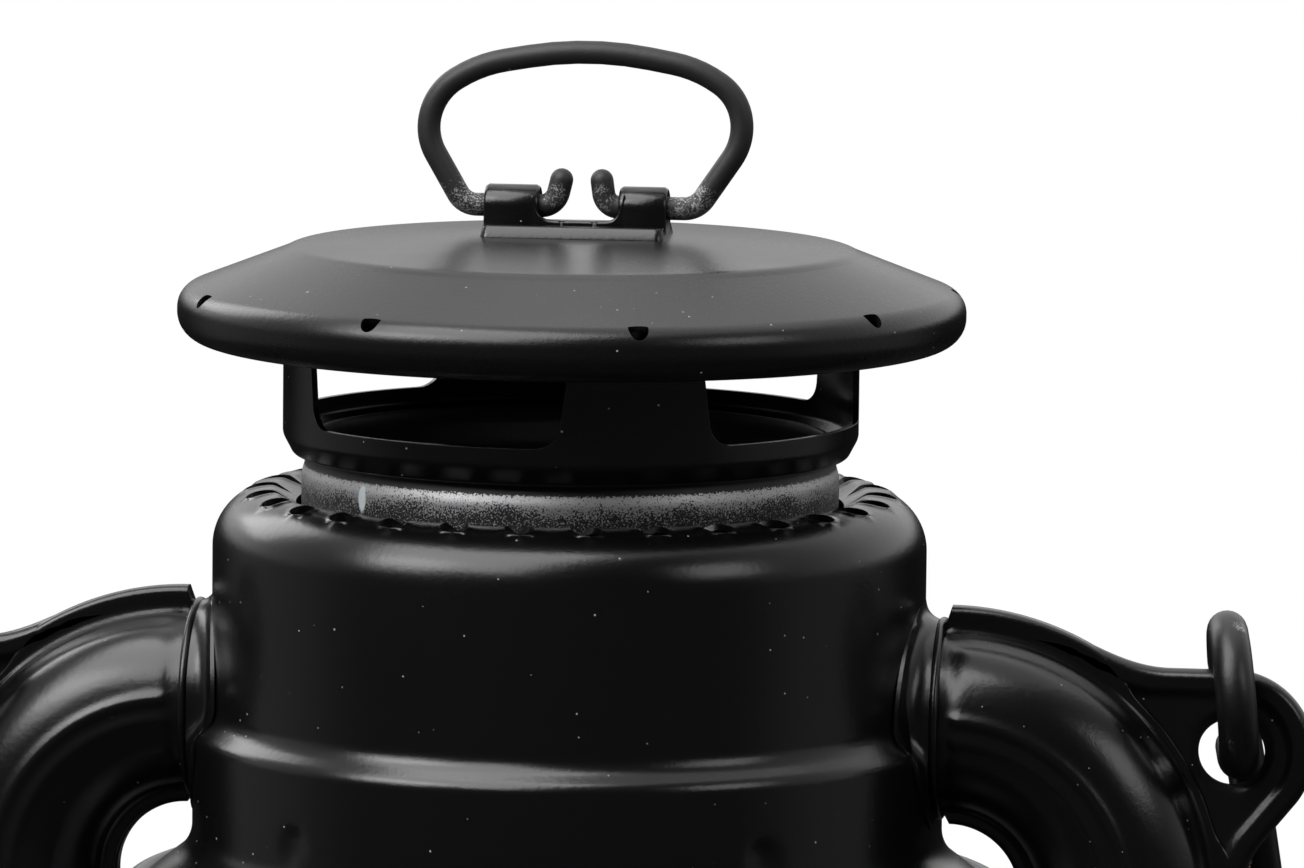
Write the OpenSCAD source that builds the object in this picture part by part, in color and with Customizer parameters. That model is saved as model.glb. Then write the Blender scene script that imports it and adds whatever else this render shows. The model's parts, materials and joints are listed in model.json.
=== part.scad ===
// Hurricane lantern. Origin at the centre of the base, +Z up, side tubes along X, front towards -Y.
// All sizes are in millimetres.

/* [Sheet and fits] */
// Thickness of the pressed steel sheet
gauge = 0.6; // [0.4:0.1:0.8]
// Thickness of the side tubes' sheet
tube_gauge = 0.8; // [0.6:0.1:1.1]
// Gap between pieces that move past each other
moving_gap = 0.3; // [0.2:0.05:0.4]
// Gap between nested pieces that are joined
seat_gap = 0.05; // [0.03:0.01:0.1]
// Radial clearance of a pin in its bore
pin_clearance = 0.06; // [0.04:0.01:0.09]

/* [Tank] */
// Outer radius of the tank wall
tank_r = 57; // [55:0.5:60]
// Height of the tank's top plate at the air mouth
tank_h = 47; // [44:0.5:52]
// Radius of the air mouth in the top plate
mouth_r = 22.5; // [21:0.5:24]
// Width of the sloping part of the top plate
slope_w = 17; // [15:0.5:19]
// Drop of the top plate from the mouth to the slope
plate_drop = 1.5; // [1:0.25:2.5]
// Drop of the tank's shoulder below the mouth
shoulder_drop = 5; // [4:0.5:6]
// Radius of the tank's shoulder
shoulder_r = 8; // [5:0.5:9]
// Height of the seam round the tank wall
seam_z = 28.5; // [24:0.5:30]
// Step of the wall above the seam
seam_step = 1.2; // [0.8:0.1:1.6]
// Height of the base floor over the foot ring
floor_lift = 4.5; // [3:0.5:7]
// Width of the foot ring
foot_ring_w = 7.5; // [5:0.5:10]
// Height of the base rim round the tank wall
rim_h = 6; // [4:0.5:9]
// Height of the air space under the top plate
air_space_h = 12; // [11:0.5:13]

/* [Burner] */
// Radius of the hole in the air pan
pan_hole_r = 13.5; // [12.5:0.25:14.5]
// Wall of the burner collar
collar_wall = 2.5; // [2:0.25:3]
// Height of the burner collar
collar_h = 11; // [9:0.5:11.5]
// Radius of the burner basket
basket_r = 14; // [13:0.25:14.5]
// Height of the burner basket
basket_h = 19; // [17:0.5:20]
// Width of the flange on top of the basket
basket_flange = 2; // [1.5:0.25:2.2]
// Height of the burner cone
cone_h = 16; // [13:0.5:18]
// Height of the drum round the burner
drum_h = 20.7; // [20:0.1:23]
// Width of the drum's foot flange
drum_flange = 4.5; // [3:0.5:6]
// Width of the wick
wick_w = 12.4; // [10:0.2:13]
// Thickness of the wick
wick_t = 2; // [1.6:0.1:2.4]
// Length of the wick
wick_l = 55.5; // [50:0.5:60]
// Wall of the wick tube
wick_tube_wall = 0.5; // [0.4:0.05:0.6]
// Height of the wick shaft over the top plate
shaft_h = 11; // [10:0.5:12]
// Radius of the wick shaft
shaft_r = 1.5; // [1.2:0.1:1.8]
// Radius of the spurred wheels that grip the wick
spur_r = 3.5; // [3:0.1:4]
// Direction of the wick knob from +X
knob_azimuth = -45; // [-60:1:-35]
// Distance of the knob's face beyond the tank's wall
knob_overhang = 2; // [-2:0.5:3]
// Radius of the wick knob
knob_r = 9; // [7:0.5:10]
// Thickness of the wick knob
knob_t = 3; // [2:0.5:4]

/* [Filler] */
// Direction of the filler from +X
filler_azimuth = -135; // [-145:1:-125]
// Distance of the filler from the middle between the burner and the tank's wall
filler_offset = 1; // [0:0.25:2]
// Outward tilt of the filler
filler_tilt = 18; // [12:1:22]
// Outer radius of the filler neck
filler_r = 9.5; // [8:0.25:10]
// Height of the filler neck over the tank
filler_h = 6; // [5:0.5:8]
// Depth of the filler neck below the tank's surface
filler_depth = 15; // [14:0.5:17]
// Width of the flange round the filler neck
filler_flange = 3; // [2:0.25:3.5]
// Thickness of the cap's gasket
gasket_t = 1; // [0.8:0.1:1.5]
// Wall of the filler cap
filler_cap_wall = 1.6; // [1.2:0.1:2]

/* [Globe] */
// Height of the glass globe
globe_h = 112.5; // [105:0.5:120]
// Wall of the glass
globe_wall = 2; // [1.5:0.1:2.5]
// Outer radius of the globe's foot
globe_foot_r = 28.5; // [27.5:0.25:29.5]
// Outer radius of the globe's belly
globe_belly_r = 36.8; // [35:0.2:37.2]
// Outer radius of the globe's top
globe_top_r = 26.4; // [25.5:0.1:27]
// Height of the globe's foot below its flare
globe_foot_h = 10; // [8:0.5:12]
// Height of the belly over the globe's foot
globe_belly_h = 42; // [38:0.5:46]
// Height from the globe's shoulder to its top
globe_shoulder_h = 28; // [26:0.5:32]
// Height of the globe's straight neck
globe_neck_h = 12; // [10:0.5:14]
// Inner radius of the globe plate's rim
plate_r = 32.4; // [31.6:0.1:32.8]
// Height of the globe plate's rim
plate_rim_h = 6; // [4:0.5:8]

/* [Chimney] */
// Outer radius of the sleeve
sleeve_r = 25.5; // [25:0.1:25.8]
// Distance from the globe's seat up to the crown
sleeve_run = 43.5; // [42:0.5:46]
// Length of the sleeve inside the crown
sleeve_grip = 2.1; // [1.5:0.1:3]
// Radius of the lip round the globe's top
lip_r = 29; // [28.4:0.1:29.6]
// Depth of that lip
lip_h = 4; // [3:0.25:5]
// Outer radius of the crown
crown_r = 27.3; // [27:0.1:27.8]
// Height of the window sills over the crown's foot
sill_h = 4.1; // [3:0.1:5]
// Height of the windows
window_h = 11; // [9:0.25:13]
// Half width of the windows at the sill
window_half = 13.4; // [11:0.2:14.5]
// Radius of the windows' lower corners
window_corner_r = 2.2; // [1:0.2:3]
// Direction of the first crown post from +X
post_azimuth = -69.5; // [-80:0.5:-60]
// Bare band between the hood and the crown
band_h = 3.9; // [3:0.1:5]

/* [Cap] */
// Radius of the cap
cap_r = 37.35; // [35.5:0.1:39]
// Height of the cap's rim over the crown's foot
cap_lift = 14.1; // [13:0.1:16]
// Height of the cap's flat top over its rim
cap_rise = 7.2; // [6:0.2:8.5]
// Radius of the rolled rim
cap_roll_r = 2.7; // [2:0.1:2.9]
// Radius of the drain notches
notch_r = 0.85; // [0.5:0.05:1.1]
// Number of drain notches
notch_count = 9; // [6:1:12]

/* [Ring] */
// Radius of the ring's wire
ring_wire_r = 1.1; // [0.9:0.05:1.2]
// Half width of the ring between its bends
ring_half_w = 17; // [15:0.2:19]
// Height of the ring over its pivot
ring_h = 14.6; // [13:0.2:18]
// Length of the ring's turned-up ends
ring_tail = 4.3; // [3.5:0.1:5]
// Length of the bracket's plate
bracket_l = 17.4; // [16.8:0.1:18]
// Width of the bracket's plate
bracket_w = 9; // [7:0.5:11]
// Thickness of the bracket's plate
bracket_t = 0.7; // [0.5:0.1:1]
// Outer radius of the bracket's knuckles
knuckle_r = 2; // [1.8:0.05:2.3]

/* [Hood] */
// Radius of the hood's wall
hood_r = 33.9; // [33.5:0.1:34.5]
// Radius of the opening for the sleeve
hood_mouth_r = 26; // [25.9:0.05:26.2]
// Radius of the hood's shoulder
hood_shoulder_r = 6.2; // [5:0.1:6.8]
// Height from the skirt's step to the hood's top
step_drop = 20.5; // [20:0.5:24]
// Width of the step
step_w = 1.8; // [1.2:0.1:2.4]
// Height from the flare to the hood's top
flare_drop = 33; // [32:0.5:35]
// Radius of the flared edge
flare_r = 41.5; // [40:0.25:43]
// Height of the flare
flare_h = 4.5; // [3.5:0.25:6]
// Number of louvre slots
louvre_count = 30; // [20:1:32]
// Length of the louvre slots
louvre_l = 4.6; // [3:0.2:5]
// Half width of the louvre slots
louvre_half_w = 1.3; // [0.8:0.1:1.5]
// Radius of the stop dimples
dimple_r = 3.2; // [2.9:0.1:3.6]
// Height from the dimples to the hood's top
dimple_drop = 28.6; // [28:0.2:29.2]
// Angle of the dimples from the front and the back
dimple_azimuth = 38; // [30:1:45]
// Height from the tubes' necks to the hood's top
neck_drop = 20; // [18:0.25:21]
// Length of the necks beyond the hood's wall
neck_l = 3.3; // [3:0.1:4]

/* [Side tubes] */
// Outer radius of the side tubes
tube_r = 8.5; // [8:0.1:8.8]
// Radius of the tubes' upper bend
bend_r = 16.7; // [15.5:0.1:18]
// Distance of the tubes' feet from the lantern's axis
foot_x = 43.7; // [42.5:0.1:44.5]
// Depth of the tubes' feet below the tank's top
foot_depth = 7; // [6:0.5:8]
// Width of the hem on the outer seam
hem_w = 2.6; // [2:0.1:3]
// Width of the hem on the inner seam
inner_hem_w = 1.5; // [1:0.1:1.8]
// Thickness of each half's hem
hem_t = 1.2; // [0.9:0.1:1.5]
// Wall of the collars round the tubes' feet
foot_collar_wall = 2.4; // [1.8:0.1:3]
// Height of the collars over the tank's top
foot_collar_h = 3; // [2:0.5:4]
// Direction of the bail ears from the bends' centres
ear_angle = 28.3; // [25:0.1:32]
// Distance of the ear holes from the tubes
ear_offset = 5; // [4.5:0.1:6]
// Radius of the ears
ear_r = 7.8; // [7:0.1:8.5]
// Radius of the ear holes
ear_hole_r = 3.15; // [3:0.05:3.4]

/* [Bail] */
// Radius of the bail's wire
bail_wire_r = 1.9; // [1.6:0.05:2]
// Radius of the bail's hooks
hook_r = 6.05; // [5.9:0.05:6.6]
// Lean of the hanging bail from the vertical
bail_lean = 24; // [22:0.5:30]
// Outward flare of the bail's arms
bail_flare = 5.5; // [3:0.5:7]
// Length of the bail's straight arms
bail_arm = 30; // [20:1:36]

/* [Guard] */
// Radius of the guard's wire
guard_wire_r = 1; // [0.8:0.05:1.2]
// Height from the guard's crossing up to the globe's middle
guard_drop = 2.85; // [0:0.05:6]
// Slant of the guard's wires
guard_slant = 30; // [26:1:33]
// Gap between the guard and the globe's belly
guard_gap = 5; // [4:0.25:6]

/* [Lever] */
// Radius of the lever's wire
lever_wire_r = 1.2; // [1:0.05:1.3]
// Length of the lever's inner arms
lever_inner = 18.35; // [17:0.05:19]
// Length of the lever's outer arms
lever_outer = 25; // [22:0.25:25]
// Tilt of the lever at rest
lever_tilt = 15; // [12:0.5:17]
// Radius of the lever's pins
lever_pin_r = 1.5; // [1.2:0.05:1.6]

/* [Hidden] */
$fn = 64;
// Largest turn between two points of a rounded corner, in degrees
arc_step = 12;
// Reach of cutting tools past what they cut
past = 1;

// Colours
black_enamel = "#1b1b1d";
bare_steel = "#8d8d90";
dark_steel = "#4a4a4d";
brass_plate = "#b08d4a";
cotton = "#e6dfcc";
rubber = "#2a2522";
clear_glass = [0.85, 0.93, 0.95, 0.35];

// Heights, from the foot ring upwards
pan_z = tank_h - air_space_h;
collar_top = pan_z + collar_h;
shaft_z = tank_h + shaft_h;
drum_top = tank_h + drum_h;
plate_z = drum_top + moving_gap;
globe_z = plate_z + gauge;
globe_top = globe_z + globe_h;
seat_z = globe_top + moving_gap;
crown_z = seat_z + sleeve_run;
cap_rim_z = crown_z + cap_lift;
cap_top = cap_rim_z + cap_rise;
pivot_z = cap_top + bracket_t + knuckle_r;
hood_top = crown_z - band_h;
neck_z = hood_top - neck_drop;
dimple_z = hood_top - dimple_drop;
guard_z = globe_z + globe_h / 2 - guard_drop;

// Distances from the lantern's axis that follow the tank
knob_reach = tank_r + knob_overhang;
filler_reach = (tank_r + mouth_r + drum_flange) / 2 - filler_offset;

// Plain geometry: points are [x, y] or [x, y, corner radius]
function xy(p) = [p[0], p[1]];
function unit(v) = v / norm(v);
function turned(v, a) = [v[0] * cos(a) - v[1] * sin(a), v[0] * sin(a) + v[1] * cos(a)];
function inside_angle(a, b, c) = acos(unit(xy(a) - xy(b)) * unit(xy(c) - xy(b)));
function tangent_length(a, b, c) = b[2] / tan(inside_angle(a, b, c) / 2);
function bend_centre(a, b, c) =
  xy(b) + unit(unit(xy(a) - xy(b)) + unit(xy(c) - xy(b))) * b[2] / sin(inside_angle(a, b, c) / 2);

// The arc that rounds the corner b between a and c
function corner(a, b, c) =
  is_undef(b[2]) || b[2] == 0 ? [xy(b)] :
  let (
    centre = bend_centre(a, b, c),
    cut = tangent_length(a, b, c),
    start = xy(b) + unit(xy(a) - xy(b)) * cut - centre,
    end = xy(b) + unit(xy(c) - xy(b)) * cut - centre,
    turn = (180 - inside_angle(a, b, c)) * sign(cross(start, end)),
    steps = max(2, ceil(abs(turn) / arc_step))
  )
  [for (i = [0:steps]) centre + turned(start, turn * i / steps)];

// An open line with its corners rounded
function rounded(p) = concat(
  [xy(p[0])],
  [for (i = [1:len(p) - 2]) each corner(p[i - 1], p[i], p[i + 1])],
  [xy(p[len(p) - 1])]
);

// A closed outline with its corners rounded
function rounded_loop(p) =
  [for (i = [0:len(p) - 1]) each corner(p[(i + len(p) - 1) % len(p)], p[i], p[(i + 1) % len(p)])];

function reversed(p) = [for (i = [len(p) - 1:-1:0]) p[i]];
function left_normal(a, b) = [a[1] - b[1], b[0] - a[0]] / norm(b - a);

// A line moved t to its left, or to its right for a negative t
function offset_line(p, t) = [
  for (i = [0:len(p) - 1])
    let (
      j = max(i - 1, 0),
      k = min(i, len(p) - 2),
      before = left_normal(p[j], p[j + 1]),
      after = left_normal(p[k], p[k + 1])
    )
    p[i] + t * (before + after) / (1 + before * after)
];

// Sheet metal of thickness t to the left of a line, turned about the Z axis
module turned_sheet(p, t) {
  line = rounded(p);
  rotate_extrude() polygon(concat(line, reversed(offset_line(line, t))));
}

// The solid between a line and the Z axis, with the line moved t to its left
module turned_solid(p, t) {
  line = offset_line(rounded(p), t);
  ends = [[0, line[len(line) - 1][1]], [0, line[0][1]]];
  rotate_extrude() polygon(concat(line, ends));
}

module tube(outer, inner, z, h) {
  translate([0, 0, z]) difference() {
    cylinder(h = h, r = outer);
    translate([0, 0, -past]) cylinder(h = h + 2 * past, r = inner);
  }
}

// Round rods and wires in the XY plane
module rod(a, b, r) {
  translate([a[0], a[1], 0])
    rotate([0, 90, atan2(b[1] - a[1], b[0] - a[0])])
      cylinder(h = norm(b - a), r = r);
}

// A bend stops a little short of its straight neighbours, and a slightly thicker sleeve or ball joins the two
weld_gap = 0.05;
weld_swell = 1.02;
sleeve_swell = 1.04;
joint_l = 0.6;
module wire_bend(a, b, c, r) {
  centre = bend_centre(a, b, c);
  cut = tangent_length(a, b, c);
  start = xy(b) + unit(xy(a) - xy(b)) * cut - centre;
  end = xy(b) + unit(xy(c) - xy(b)) * cut - centre;
  first = cross(start, end) > 0 ? start : end;
  trim = weld_gap / b[2] * 180 / PI;
  translate([centre[0], centre[1], 0])
    rotate([0, 0, atan2(first[1], first[0]) + trim])
      rotate_extrude(angle = 180 - inside_angle(a, b, c) - 2 * trim)
        translate([b[2], 0]) circle(r);
  for (v = [start, end])
    translate([centre[0] + v[0], centre[1] + v[1], 0]) rotate([0, 90, atan2(v[1], v[0]) + 90])
      cylinder(h = joint_l, r = sleeve_swell * r, center = true);
}

function leaves(p, i) = i == 0 ? xy(p[0]) :
  xy(p[i]) + unit(xy(p[i + 1]) - xy(p[i])) * (tangent_length(p[i - 1], p[i], p[i + 1]) + weld_gap);
function arrives(p, i) = i == len(p) - 1 ? xy(p[i]) :
  xy(p[i]) + unit(xy(p[i - 1]) - xy(p[i])) * (tangent_length(p[i - 1], p[i], p[i + 1]) + weld_gap);

module wire(p, r) {
  for (i = [0:len(p) - 2]) rod(leaves(p, i), arrives(p, i + 1), r);
  for (i = [1:len(p) - 2]) wire_bend(p[i - 1], p[i], p[i + 1], r);
}

// Copies a shape count times round the Z axis
module around(count, first = 0) {
  for (i = [0:count - 1]) rotate([0, 0, first + i * 360 / count]) children();
}

// Tank and base
wall_taper = 2 * seam_step;
tank_line = [
  [mouth_r, tank_h],
  [tank_r - slope_w, tank_h - plate_drop, 4],
  [tank_r - wall_taper, tank_h - shoulder_drop, shoulder_r],
  [tank_r - seam_step, seam_z + 1.5, 1],
  [tank_r, seam_z, 1],
  [tank_r, gauge]
];
function plate_height(r) = tank_h - (r - mouth_r) * plate_drop / (tank_r - slope_w - mouth_r);
function slope_height(r) = tank_h - plate_drop
  - (r - tank_r + slope_w) * (shoulder_drop - plate_drop) / (slope_w - wall_taper);
function wall_inside(z) = tank_r - wall_taper - 1.05 * gauge
  + seam_step * (tank_h - shoulder_drop - z) / (tank_h - shoulder_drop - seam_z - 1.5);

module tank_shell() {
  color(black_enamel) difference() {
    turned_sheet(tank_line, -gauge);
    filler_frame() translate([0, 0, -filler_depth]) cylinder(h = 2 * filler_depth, r = filler_r + seat_gap);
    for (side = [0, 1]) mirror([side, 0, 0]) leg_frame() cylinder(h = leg_l + past, r = tube_r + seat_gap);
  }
}

rim_r = tank_r + seat_gap;
foot_r = rim_r - foot_ring_w;
module base_pan() {
  color(black_enamel) turned_sheet([
    [0, floor_lift + gauge],
    [foot_r - floor_lift / 2, floor_lift + gauge, 1.5],
    [foot_r, gauge, 1],
    [rim_r, gauge],
    [rim_r, rim_h]
  ], -gauge);
}

collar_in = pan_hole_r - gauge;
collar_out = collar_in + collar_wall;
pan_rim_z = pan_z + 1;
pan_rim_r = wall_inside(pan_rim_z) - seat_gap - gauge;
pan_sag = 1.8;
module air_pan() {
  color(dark_steel) difference() {
    turned_sheet([
      [pan_hole_r, pan_z],
      [collar_out + gauge, pan_z, 1],
      [pan_rim_r, pan_z - pan_sag, 1.5],
      [pan_rim_r, pan_rim_z]
    ], -gauge);
    filler_frame() translate([0, 0, -2 * filler_depth])
      cylinder(h = 2 * filler_depth, r = filler_r + seat_gap);
  }
}

// Burner, in a frame whose X axis runs along the wick shaft
base_flange_t = 1;
plug_h = 6;
basket_z = collar_top + base_flange_t;
cone_z = basket_z + basket_h;
wick_room_w = wick_w + 2 * moving_gap;
wick_room_t = wick_t + 2 * moving_gap;
wick_tube_w = wick_room_w + 2 * wick_tube_wall;
wick_tube_t = wick_room_t + 2 * wick_tube_wall;
wick_tube_z = collar_top - plug_h;
wick_tube_top = cone_z + cone_h - 3;
wick_top = cone_z + cone_h - 0.5;
spur_gap = 0.1;
spur_w = 3;
spur_x = wick_w / 2 - 1.3 - spur_w / 2;
shaft_y = wick_t / 2 + spur_gap + spur_r;
shaft_inner_end = basket_r + 0.6;
drum_r = mouth_r - 0.5;

module burner_frame() {
  rotate([0, 0, knob_azimuth]) children();
}

module along_shaft(from, to, r) {
  translate([from, shaft_y, shaft_z]) rotate([0, 90, 0]) cylinder(h = to - from, r = r);
}

module upright_block(w, t, z, h) {
  translate([-w / 2, -t / 2, z]) cube([w, t, h]);
}

module burner_collar() {
  color(brass_plate) tube(collar_out, collar_in, pan_z, collar_h);
}

module burner_base() {
  plug_r = collar_in - seat_gap;
  color(brass_plate) burner_frame() difference() {
    union() {
      translate([0, 0, collar_top - plug_h]) cylinder(h = plug_h, r = plug_r);
      translate([0, 0, collar_top]) cylinder(h = base_flange_t, r = collar_out);
    }
    translate([0, 0, collar_top - plug_h - past]) cylinder(h = plug_h, r = plug_r - 1);
    upright_block(wick_tube_w + 2 * seat_gap, wick_tube_t + 2 * seat_gap, wick_tube_z, 2 * plug_h);
  }
}

module burner_basket() {
  vent_r = 1.8;
  vent_count = 12;
  color(brass_plate) burner_frame() difference() {
    turned_sheet([
      [basket_r - gauge, basket_z],
      [basket_r - gauge, cone_z, gauge + 0.2],
      [basket_r + basket_flange, cone_z]
    ], -gauge);
    along_shaft(-2 * basket_r, 2 * basket_r, shaft_r + pin_clearance);
    around(vent_count, 15) translate([basket_r - 3, 0, basket_z + 2 * vent_r])
      rotate([0, 90, 0]) cylinder(h = 6, r = vent_r);
  }
}

module burner_drum() {
  color(black_enamel) burner_frame() difference() {
    turned_sheet([
      [drum_r - gauge, drum_top],
      [drum_r - gauge, plate_height(drum_r - gauge) + seat_gap, gauge + 0.3],
      [drum_r + drum_flange, plate_height(drum_r + drum_flange) + seat_gap]
    ], gauge);
    along_shaft(basket_r, 2 * drum_r, shaft_r + 2 * moving_gap);
  }
}

module wick_tube() {
  window_w = 2 * spur_x + spur_w + 2 * moving_gap;
  slot_h = 2 * spur_r + 2;
  color(brass_plate) burner_frame() difference() {
    upright_block(wick_tube_w, wick_tube_t, wick_tube_z, wick_tube_top - wick_tube_z);
    upright_block(wick_room_w, wick_room_t, wick_tube_z - past, wick_tube_top - wick_tube_z + 2 * past);
    translate([-window_w / 2, 0, shaft_z - slot_h / 2]) cube([window_w, wick_tube_t, slot_h]);
  }
}

module burner_cone() {
  cone_r = basket_r + basket_flange;
  top = cone_z + cone_h;
  // The cone stands on a short upright foot
  foot_h = 2;
  shoulder_w = 1;
  shoulder_z = top - 9;
  crown_w = 7;
  mouth_gap = 0.5;
  mouth_depth = 4;
  color(brass_plate) burner_frame() difference() {
    turned_sheet([
      [0, top],
      [cone_r - crown_w, top, 5],
      [cone_r - shoulder_w, shoulder_z, 6],
      [cone_r, cone_z + foot_h, 2],
      [cone_r, cone_z + seat_gap]
    ], -gauge);
    upright_block(wick_tube_w + 2 * mouth_gap, wick_tube_t + 2 * mouth_gap, top - mouth_depth,
      mouth_depth + past);
  }
}

module wick() {
  color(cotton) burner_frame() upright_block(wick_w, wick_t, wick_top - wick_l, wick_l);
}

module wick_shaft() {
  color(bare_steel) burner_frame() along_shaft(-shaft_inner_end, knob_reach, shaft_r);
}

module wick_wheels() {
  spur_count = 12;
  spur_depth = 0.8;
  color(brass_plate) burner_frame() for (side = [-1, 1]) difference() {
    along_shaft(side * spur_x - spur_w / 2, side * spur_x + spur_w / 2, spur_r);
    along_shaft(-shaft_inner_end, knob_reach, shaft_r + seat_gap);
    translate([0, shaft_y, shaft_z]) rotate([0, 90, 0]) around(spur_count)
      translate([spur_r + 0.2, 0, -spur_r - spur_x]) cylinder(h = 2 * (spur_r + spur_x), r = spur_depth);
  }
}

module wick_knob() {
  knurl_count = 36;
  knurl_r = 0.45;
  hub_l = 4;
  inner_face = knob_reach - knob_t;
  color(dark_steel) burner_frame() difference() {
    union() {
      along_shaft(inner_face, knob_reach, knob_r);
      along_shaft(inner_face - hub_l, inner_face, 2 * shaft_r);
    }
    along_shaft(0, knob_reach + past, shaft_r + seat_gap);
    translate([inner_face - past, shaft_y, shaft_z]) rotate([0, 90, 0]) around(knurl_count)
      translate([knob_r, 0, 0]) cylinder(h = knob_t + 2 * past, r = knurl_r);
  }
}

// Filler, in a frame on the tank's slope whose Z axis runs along the neck
filler_bore_r = filler_r - gauge;
filler_flange_t = 1.2;
filler_cap_in = filler_r + 0.5;
filler_cap_r = filler_cap_in + filler_cap_wall;
gasket_z = filler_h + moving_gap;
filler_cap_z = filler_flange_t + moving_gap;
filler_cap_under = gasket_z + gasket_t + seat_gap;

module filler_frame() {
  rotate([0, 0, filler_azimuth])
    translate([filler_reach, 0, slope_height(filler_reach)])
      rotate([0, filler_tilt, 0]) children();
}

module filler_neck() {
  flange_depth = 5;
  color(black_enamel) difference() {
    union() {
      filler_frame() translate([0, 0, -filler_depth]) cylinder(h = filler_depth + filler_h, r = filler_r);
      difference() {
        filler_frame() translate([0, 0, -flange_depth])
          cylinder(h = flange_depth + filler_flange_t, r = filler_r + filler_flange);
        turned_solid(tank_line, seat_gap);
      }
    }
    filler_frame() translate([0, 0, -filler_depth - past])
      cylinder(h = filler_depth + filler_h + 2 * past, r = filler_bore_r);
  }
}

module filler_gasket() {
  color(rubber) filler_frame() tube(filler_cap_in - seat_gap, filler_bore_r, gasket_z, gasket_t);
}

module filler_cap() {
  grip_count = 24;
  grip_r = 0.6;
  top = filler_cap_under + filler_cap_wall;
  color(black_enamel) filler_frame() difference() {
    translate([0, 0, filler_cap_z]) cylinder(h = top - filler_cap_z, r = filler_cap_r);
    translate([0, 0, filler_cap_z - past])
      cylinder(h = filler_cap_under - filler_cap_z + past, r = filler_cap_in);
    around(grip_count) translate([filler_cap_r + grip_r / 3, 0, filler_cap_z - past])
      cylinder(h = top - filler_cap_z + 2 * past, r = grip_r);
  }
}

// Globe and its plate
module globe_plate() {
  hole_r = basket_r + basket_flange + 2 * moving_gap;
  inner_vents = 20;
  outer_vents = 24;
  vent_r = 1;
  color(black_enamel) difference() {
    turned_sheet([
      [hole_r, globe_z],
      [plate_r, globe_z, 1],
      [plate_r, globe_z + plate_rim_h]
    ], -gauge);
    around(inner_vents) translate([hole_r + 2.6, 0, plate_z - past])
      cylinder(h = gauge + 2 * past, r = vent_r);
    around(outer_vents) translate([globe_foot_r - globe_wall - 2, 0, plate_z - past])
      cylinder(h = gauge + 2 * past, r = vent_r);
  }
}

module globe() {
  // The belly's corner lies this far outside the rounded belly
  belly_corner = 1;
  foot_flare = 1;
  shoulder_w = 4;
  color(clear_glass) turned_sheet([
    [globe_foot_r, globe_z],
    [globe_foot_r + foot_flare, globe_z + globe_foot_h, 24],
    [globe_belly_r + belly_corner, globe_z + globe_belly_h, 38],
    [globe_top_r + shoulder_w, globe_top - globe_shoulder_h, 60],
    [globe_top_r, globe_top - globe_neck_h, 20],
    [globe_top_r, globe_top]
  ], globe_wall);
}

// Chimney: sleeve, stop ring, crown and cap move together
module chimney_sleeve() {
  color(bare_steel) turned_sheet([
    [sleeve_r, crown_z + sleeve_grip],
    [sleeve_r, seat_z + gauge, 1],
    [lip_r, seat_z + gauge, gauge + 0.4],
    [lip_r, seat_z + gauge - lip_h]
  ], -gauge);
}

stop_gap = 0.7;
stop_clearance = 2;
stop_z = dimple_z + dimple_r + gauge + stop_clearance;
module chimney_stop_ring() {
  grip_h = 3.5;
  color(dark_steel) turned_sheet([
    [sleeve_r + seat_gap, stop_z + grip_h],
    [sleeve_r + seat_gap, stop_z],
    [hood_r - gauge - stop_gap, stop_z]
  ], gauge);
}

cap_fall = 0.9;
cap_top_r = crown_r + 0.2;
crown_top = cap_top - cap_fall - gauge - 0.1;
window_spread = 1.2;
module chimney_crown() {
  sill_z = crown_z + sill_h;
  window = rounded_loop([
    [-window_half, sill_z, window_corner_r],
    [window_half, sill_z, window_corner_r],
    [window_half + window_spread, sill_z + window_h, 1],
    [-window_half - window_spread, sill_z + window_h, 1]
  ]);
  color(black_enamel) difference() {
    turned_sheet([
      [sleeve_r + seat_gap, crown_z],
      [crown_r, crown_z, 1.4],
      [crown_r, crown_top]
    ], gauge);
    around(4, post_azimuth + 45) rotate([90, 0, 90]) linear_extrude(height = 2 * crown_r) polygon(window);
  }
}

module cap() {
  flat_r = 10;
  notch_azimuth = -72.9;
  notch_tilt = 50;
  notch_inset = 1.5;
  notch_rise = 1.6;
  notch_depth = 5;
  rim_top = cap_rim_z + 2.1;
  rim_foot = cap_rim_z - 2.9;
  hem_w = 3.5;
  hem_h = 1.1;
  hem_r = cap_r - hem_w;
  color(black_enamel) difference() {
    turned_sheet([
      [0, cap_top],
      [flat_r, cap_top, 6],
      [cap_top_r, cap_top - cap_fall, 2],
      [cap_r, rim_top, cap_roll_r - 0.4],
      [cap_r, rim_foot, cap_roll_r],
      [hem_r, rim_foot, gauge + 0.1],
      [hem_r, rim_foot + hem_h]
    ], -gauge);
    around(notch_count, notch_azimuth) translate([cap_r - notch_inset, 0, cap_rim_z + notch_rise])
      rotate([0, notch_tilt, 0]) cylinder(h = notch_depth, r = notch_r, center = true);
  }
}

// Ring on top of the cap. Its wire sits a little to the right in the bracket
ring_shift = 0.9;
tail_x = 2;
tail_bend_r = 1.6;
knuckle_inset = 1.15 * tail_bend_r;
module knuckle(from, to) {
  translate([from, 0, pivot_z]) rotate([90, 0, 90]) linear_extrude(height = to - from) difference() {
    union() {
      circle(knuckle_r);
      translate([-knuckle_r, -knuckle_r - weld_gap]) square([2 * knuckle_r, knuckle_r + weld_gap]);
    }
    circle(ring_wire_r + pin_clearance);
  }
}

module ring_bracket() {
  color(black_enamel) union() {
    translate([-bracket_l / 2, -bracket_w / 2, cap_top]) cube([bracket_l, bracket_w, bracket_t]);
    knuckle(-bracket_l / 2, ring_shift - tail_x - knuckle_inset);
    knuckle(ring_shift + tail_x + knuckle_inset, bracket_l / 2);
  }
}

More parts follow.
